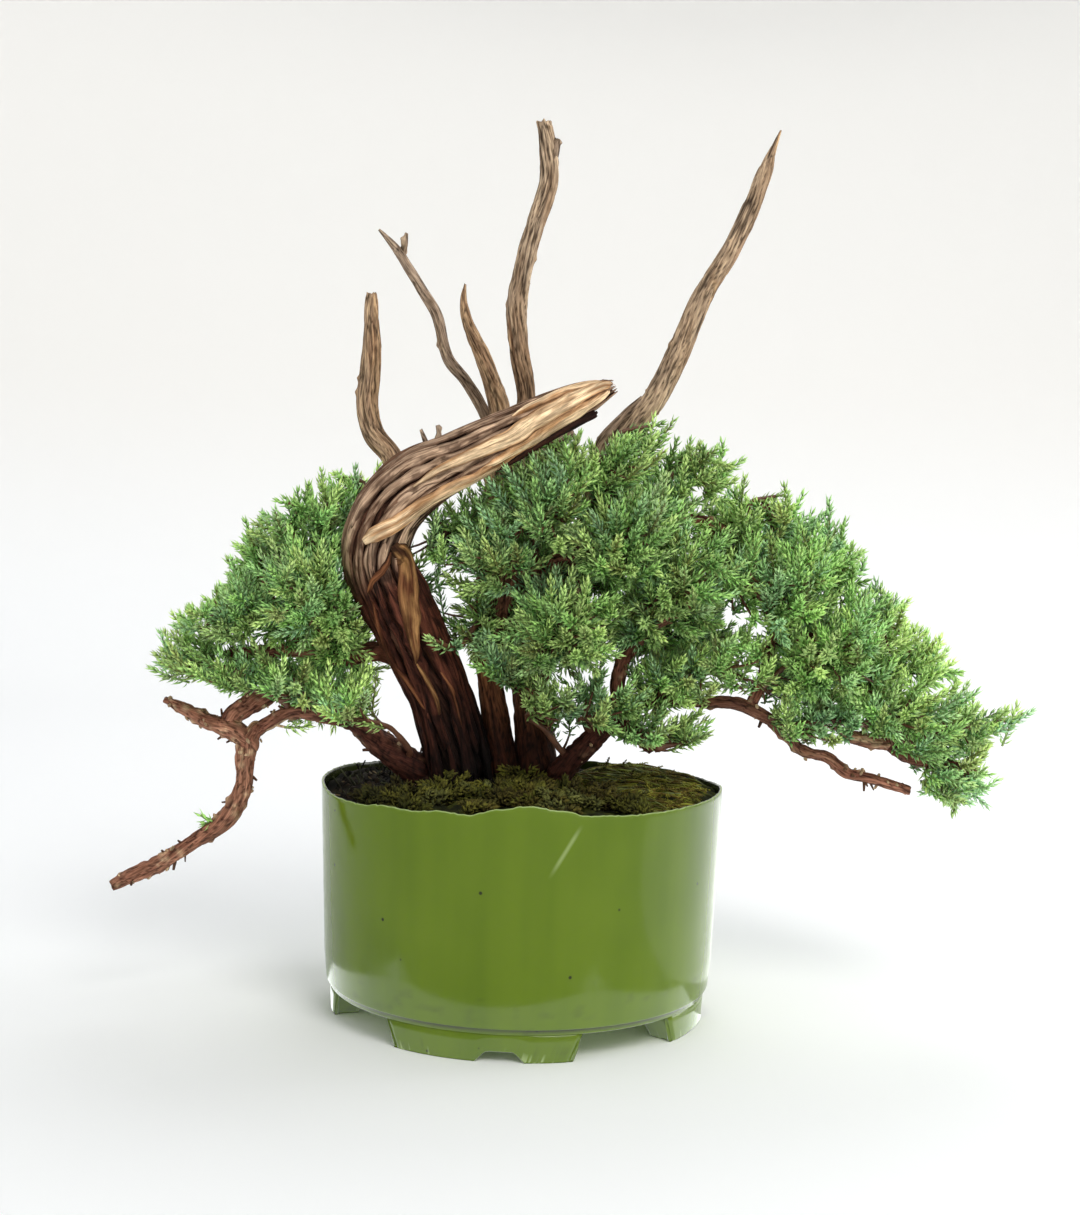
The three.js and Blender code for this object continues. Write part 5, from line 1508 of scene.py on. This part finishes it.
def soilBlades(random):
    # Dead blades and bits of stalk standing out of the soil, all on the left and round the stems.
    count = ground["blades"]
    azimuth = np.radians(random.uniform(*ground["bladeArc"], count))
    spots = onSoil(azimuth, (ground["edge"] - 4) * np.sqrt(random.uniform(0.2, 1, count))) - up
    lean = unit(random.normal(0, 1, (count, 3)))
    lean[:, 2] = np.abs(lean[:, 2]) * 0.8 + 0.25
    length = random.uniform(*ground["bladeLength"], (count, 1)) * random.random((count, 1)) ** 0.5
    ends = spots + unit(lean) * length
    ends[:, :2] *= np.minimum(1, ground["edge"] / np.linalg.norm(ends[:, :2], axis=1, keepdims=True))
    middle = (spots + ends) / 2 + random.normal(0, 1.2, (count, 3))
    tints = blend(colour(ground["earth"]), colour(ground["blade"]), random.random(count) ** 2.5)
    return stemShapes(spots, middle, ends, random.uniform(0.4, 1.3, count), tints)


def makeSoil():
    # The soil with the crumbs, bits of leaf and blades on it, as one piece.
    random = np.random.default_rng(ground["seed"])
    spots = scattered(ground["crumbs"], random)
    sizes = (0.7 + 2.2 * random.random((len(spots), 1)) ** 2.2) * (0.7 + 0.5 * random.random((len(spots), 3)))
    tints = blend(colour(ground["earth"]), colour(ground["earthLight"]), random.random(len(spots)) ** 2)
    crumbs = crumbParts(spots, sizes, tints, random)
    spots = scattered(ground["litter"], random) + up * 1.2
    sizes = np.stack([least + more * random.random(len(spots)) for least, more in ground["litterSize"]], 1)
    tints = blend(colour(ground["leaf"]), colour(ground["chip"]), random.random(len(spots)))
    litter = crumbParts(spots, sizes, tints * (0.35 + 0.7 * random.random((len(spots), 1))), random)
    part = joinParts([soilPart(), crumbs, litter, soilBlades(random)])
    piece = makePiece("pottingSoil", part, earthMaterial("darkSoil", 0.95, 0.7), ["soil"])
    print("soil", len(piece.data.polygons))


def mossSpan(mat, azimuth):
    # How far round the mat a place is, from 0 to 1, and the mat's inner and outer radius there.
    span = (azimuth - np.radians(mat["from"])) / np.radians(mat["to"] - mat["from"])
    return span, np.interp(span, [0, 0.5, 1], mat["inner"]), insideWall(ground["top"]) - mossSheet["wallGap"]


def mossHeight(mat, azimuth, outward):
    # Thick in the middle of the mat, thin at its edges, with lumps and a fine nap.
    span, inner, outer = mossSpan(mat, azimuth)
    spots = polar(azimuth, inner + (outer - inner) * outward, 0.0)
    edges = (5 * span + 0.1, 5 * (1 - span) + 0.1, 4 * outward + 0.15, 4 * (1 - outward) + 0.55)
    thick = np.minimum.reduce([np.ones_like(span), *edges])
    nap = layered(spots / 5.0, 61, 3) - 0.5
    high = mossSheet["lumps"] * lumps(2.3 * spots[..., 0], 2.3 * spots[..., 1]) + mossSheet["nap"] * nap
    spots[..., 2] = ground["top"] + mossSheet["lift"] + thick * (mat["thick"] + high)
    return spots


def roundMat(mat, count, random):
    # Angles at random between the mat's two ends.
    edge = mossSheet["edge"]
    return np.radians(random.uniform(mat["from"] + edge, mat["to"] - edge, count))


def mossTints(mat, spot, own, random):
    # Patches of yellow, olive and brown; some tufts greyish; each strand a little different; all
    # of it darker on the far left.
    hue = layered(spot / 16.0, 65, 2) + 0.12 * random.normal(0, 1, len(spot))
    base = blend(colour(mossLook["olive"]), colour(mossLook["yellow"]), smoothStep(0.45, 0.8, hue))
    base = blend(base, colour(mossLook["brown"]), (own < 0.35) * 0.75)
    base = blend(base, colour(mossLook["grey"]), (own > 0.84) * 0.7)
    base = blend(base, colour(mossLook["deep"]), random.random(len(spot)) * 0.7)
    light = mat["light"] * ((0.4 + 0.6 * smoothStep(-90, -35, spot[:, 0])) * (0.7 + 0.6 * own))[:, None]
    return base * light, colour(mossLook["yellow"]) * light


def mossStrands(mat, random):
    # Leafy strands in tufts: those of one tuft start close together and fan out.
    count = mat["strands"]
    tuft = np.arange(count) // mat["perTuft"]
    tufts = tuft[-1] + 1
    across = roundMat(mat, tufts, random)[tuft]
    outward = random.uniform(*mat["reach"], tufts)[tuft]
    spot = mossHeight(mat, across, outward) + random.normal(0, mat["spread"], (count, 3)) * [1, 1, 0]
    spot[:, 2] = np.maximum(spot[:, 2], soilHeight(spot[:, 0], spot[:, 1]))
    own = unit(random.normal(0, 1, (count, 3)))
    heading = own + 0.5 * unit(random.normal(0, 1, (tufts, 3)))[tuft] + mat["toward"]
    heading[:, 2] = np.abs(heading[:, 2]) * 0.35 + mat["rise"]
    heading = unit(heading)
    shortest, longest = mat["length"]
    shorter = np.clip(1 - 0.62 * outward, 0.3, 1)
    length = shortest + (longest - shortest) * random.random(count) ** 1.5 * shorter
    ends = spot + heading * length[:, None]
    heading[np.linalg.norm(ends[:, :2], axis=1) > mossSheet["strandReach"], :2] *= -1
    base, light = mossTints(mat, spot, random.random(tufts)[tuft], random)
    tips = blend(base, light, np.full(count, 0.5))
    return leafyShoots(spot - up * 0.8, heading, length, base, tips, random, mat["rules"])


def mossFibres(mat, random):
    # Long thin strands that lie on the mat, nearly side by side. Those that would leave it are dropped.
    count = mat["fibres"]
    across = roundMat(mat, count, random)
    start = mossHeight(mat, across, random.uniform(0.02, 0.95, count))
    heading = unit(random.normal(0, 0.3, (count, 3)) + mat["toward"])
    end = start + heading * random.uniform(*mossSheet["fibreLength"], (count, 1)) * [1, 1, 0]
    azimuth = np.arctan2(end[:, 0], -end[:, 1])
    reach = np.linalg.norm(end[:, :2], axis=1)
    _, inner, outer = mossSpan(mat, azimuth)
    inside = (reach < mossSheet["fibreReach"]) & (reach > inner)
    end[:, 2] = mossHeight(mat, azimuth, (reach - inner) / (outer - inner))[:, 2]
    start, end = start[inside], end[inside]
    middle = (start + end) / 2 + random.normal(0, 1.0, start.shape) + up * 1.6
    tints, _ = mossTints(mat, start, random.random(len(start)), random)
    radius = random.uniform(*mossSheet["fibreRadius"], len(start))
    return stemShapes(start, middle, end, radius, tints * random.uniform(0.6, 1.5, (len(start), 1)))


def makeMoss(name):
    # A closed sheet with its strands and fibres. Both mats are of one material.
    mat = mossMats[name]
    random = np.random.default_rng(mat["seed"])
    span = np.radians(np.linspace(mat["from"], mat["to"], mossSheet["columns"]))[None, :]
    span, outward = np.broadcast_arrays(span, np.linspace(0, 1, mossSheet["rows"])[:, None])
    top = mossHeight(mat, span, outward)
    bottom = top * [1, 1, 0] + up * (ground["top"] - mossSheet["under"])
    rows = np.concatenate([top[::-1], bottom], 0).transpose(1, 0, 2)
    # the sheet between the strands: dark olive, partly the mat's own colour and partly painted shade in the
    # gaps
    shade = layered(rows / 6.0, 63)
    tint = blend(colour(mossLook["deep"]), colour(mossLook["olive"]), smoothStep(0.4, 0.75, shade) * 0.7)
    parts = [capped(rows, {"tint": tint}, *rows.shape[:2]), mossStrands(mat, random)]
    if mat["fibres"]:
        parts.append(mossFibres(mat, random))
    material = bpy.data.materials.get("feltedMoss") or earthMaterial("feltedMoss", 0.92, 0.5)
    piece = makePiece(name, joinParts(parts), material, [mat["node"]])
    print(name, len(piece.data.polygons))


makeSoil()
for name in mossMats:
    makeMoss(name)


# The floor and the lamps.
studio = {
    "flat": 1600, "wall": 2700, "high": 2300, "bend": 30, "columns": 128, "paper": (0.955, 0.965, 0.975),
    "wallPaper": (0.90, 0.888, 0.86), "paperRough": 0.7, "world": (0.93, 0.96, 1.0), "worldLight": 0.5,
    "aim": np.array([potAxis[0], 0, 0.25]),
    "lamps": {
        "key": {"place": (0.9, -1.9, 2.1), "size": 1.3, "power": 33, "colour": (1.0, 0.98, 0.95)},
        "side": {"place": (1.85, 0.75, 0.75), "size": 1.0, "power": 14, "colour": (0.97, 0.98, 1.0)},
        "back": {"place": (0.2, 1.7, 2.2), "size": 1.6, "power": 16, "colour": (1.0, 1.0, 1.0)},
        # These two lie on the floor facing up, and are only seen in reflections: a broad one at the
        # right, and an oblong that starts under the pot and ends in two corners in front of it.
        "sheen": {"place": (0.57, 0.26, 0.002), "size": 1.0, "power": 2.3, "colour": (0.97, 1.0, 1.0),
                  "floor": 0},
        "underPot": {"place": (-0.052, -0.091, 0.0006), "size": 0.385, "deep": 0.2, "power": 0.5,
                     "colour": (0.95, 1.0, 1.0), "floor": -11},
    },
}


def makeFloor():
    # A floor that turns up into a round wall: flat, then a quarter circle, then upright.
    bend = studio["wall"] - studio["flat"]
    angle = np.linspace(0, np.pi / 2, studio["bend"])
    curve = np.stack([studio["flat"] + bend * np.sin(angle), bend * (1 - np.cos(angle))], 1)
    outline = np.vstack([[[1, 0], [600, 0]], curve, [[studio["wall"], studio["high"]]]])
    points = polar(aroundCircle(studio["columns"])[None, :], outline[:, :1], outline[:, 1:])[:, ::-1]
    faces = gridFaces(len(outline), studio["columns"])
    shader = Shader("palePaper")
    height = shader.add("ShaderNodeSeparateXYZ", (("Vector", shader.place()),)).outputs["Z"]
    upward = shader.ramp(height, 0.0, 0.6)
    shader.dress(shader.mix(upward, studio["paper"], studio["wallPaper"]), studio["paperRough"], 0.0)
    mesh = bpy.data.meshes.new("floor")
    mesh.from_pydata((points.reshape(-1, 3) * mm + potAxis).tolist(), [], faces.tolist())
    mesh.shade_smooth()
    mesh.materials.append(shader.material)
    floor = addObject("floor", mesh)


def makeLamp(name, lamp):
    # A lamp on the floor is turned by its own angle, and any other faces the plant.
    data = bpy.data.lights.new(name, "AREA")
    data.shape = "RECTANGLE" if "deep" in lamp else "DISK"
    data.size = lamp["size"]
    data.size_y = lamp.get("deep", lamp["size"])
    data.energy = lamp["power"]
    data.color = lamp["colour"]
    light = addObject(name, data)
    onFloor = "floor" in lamp
    away = unit(np.array(lamp["place"]) - studio["aim"])
    side = unit(np.cross(up, away))
    if onFloor:
        turn = np.radians(lamp["floor"])
        away = -up
        side = np.array([np.cos(turn), np.sin(turn), 0])
    light.matrix_world = turnedTo(side, np.cross(away, side), away, lamp["place"])
    light.visible_camera = False
    light.visible_diffuse = not onFloor


def makeStudio():
    # The floor, an even light from all round, and the lamps.
    makeFloor()
    scene.world = bpy.data.worlds.new("world")
    scene.world.use_nodes = True
    sky = scene.world.node_tree.nodes["Background"]
    sky.inputs["Color"].default_value = (*studio["world"], 1)
    sky.inputs["Strength"].default_value = studio["worldLight"]
    for name, lamp in studio["lamps"].items():
        makeLamp(name, lamp)


makeStudio()
print("studio")
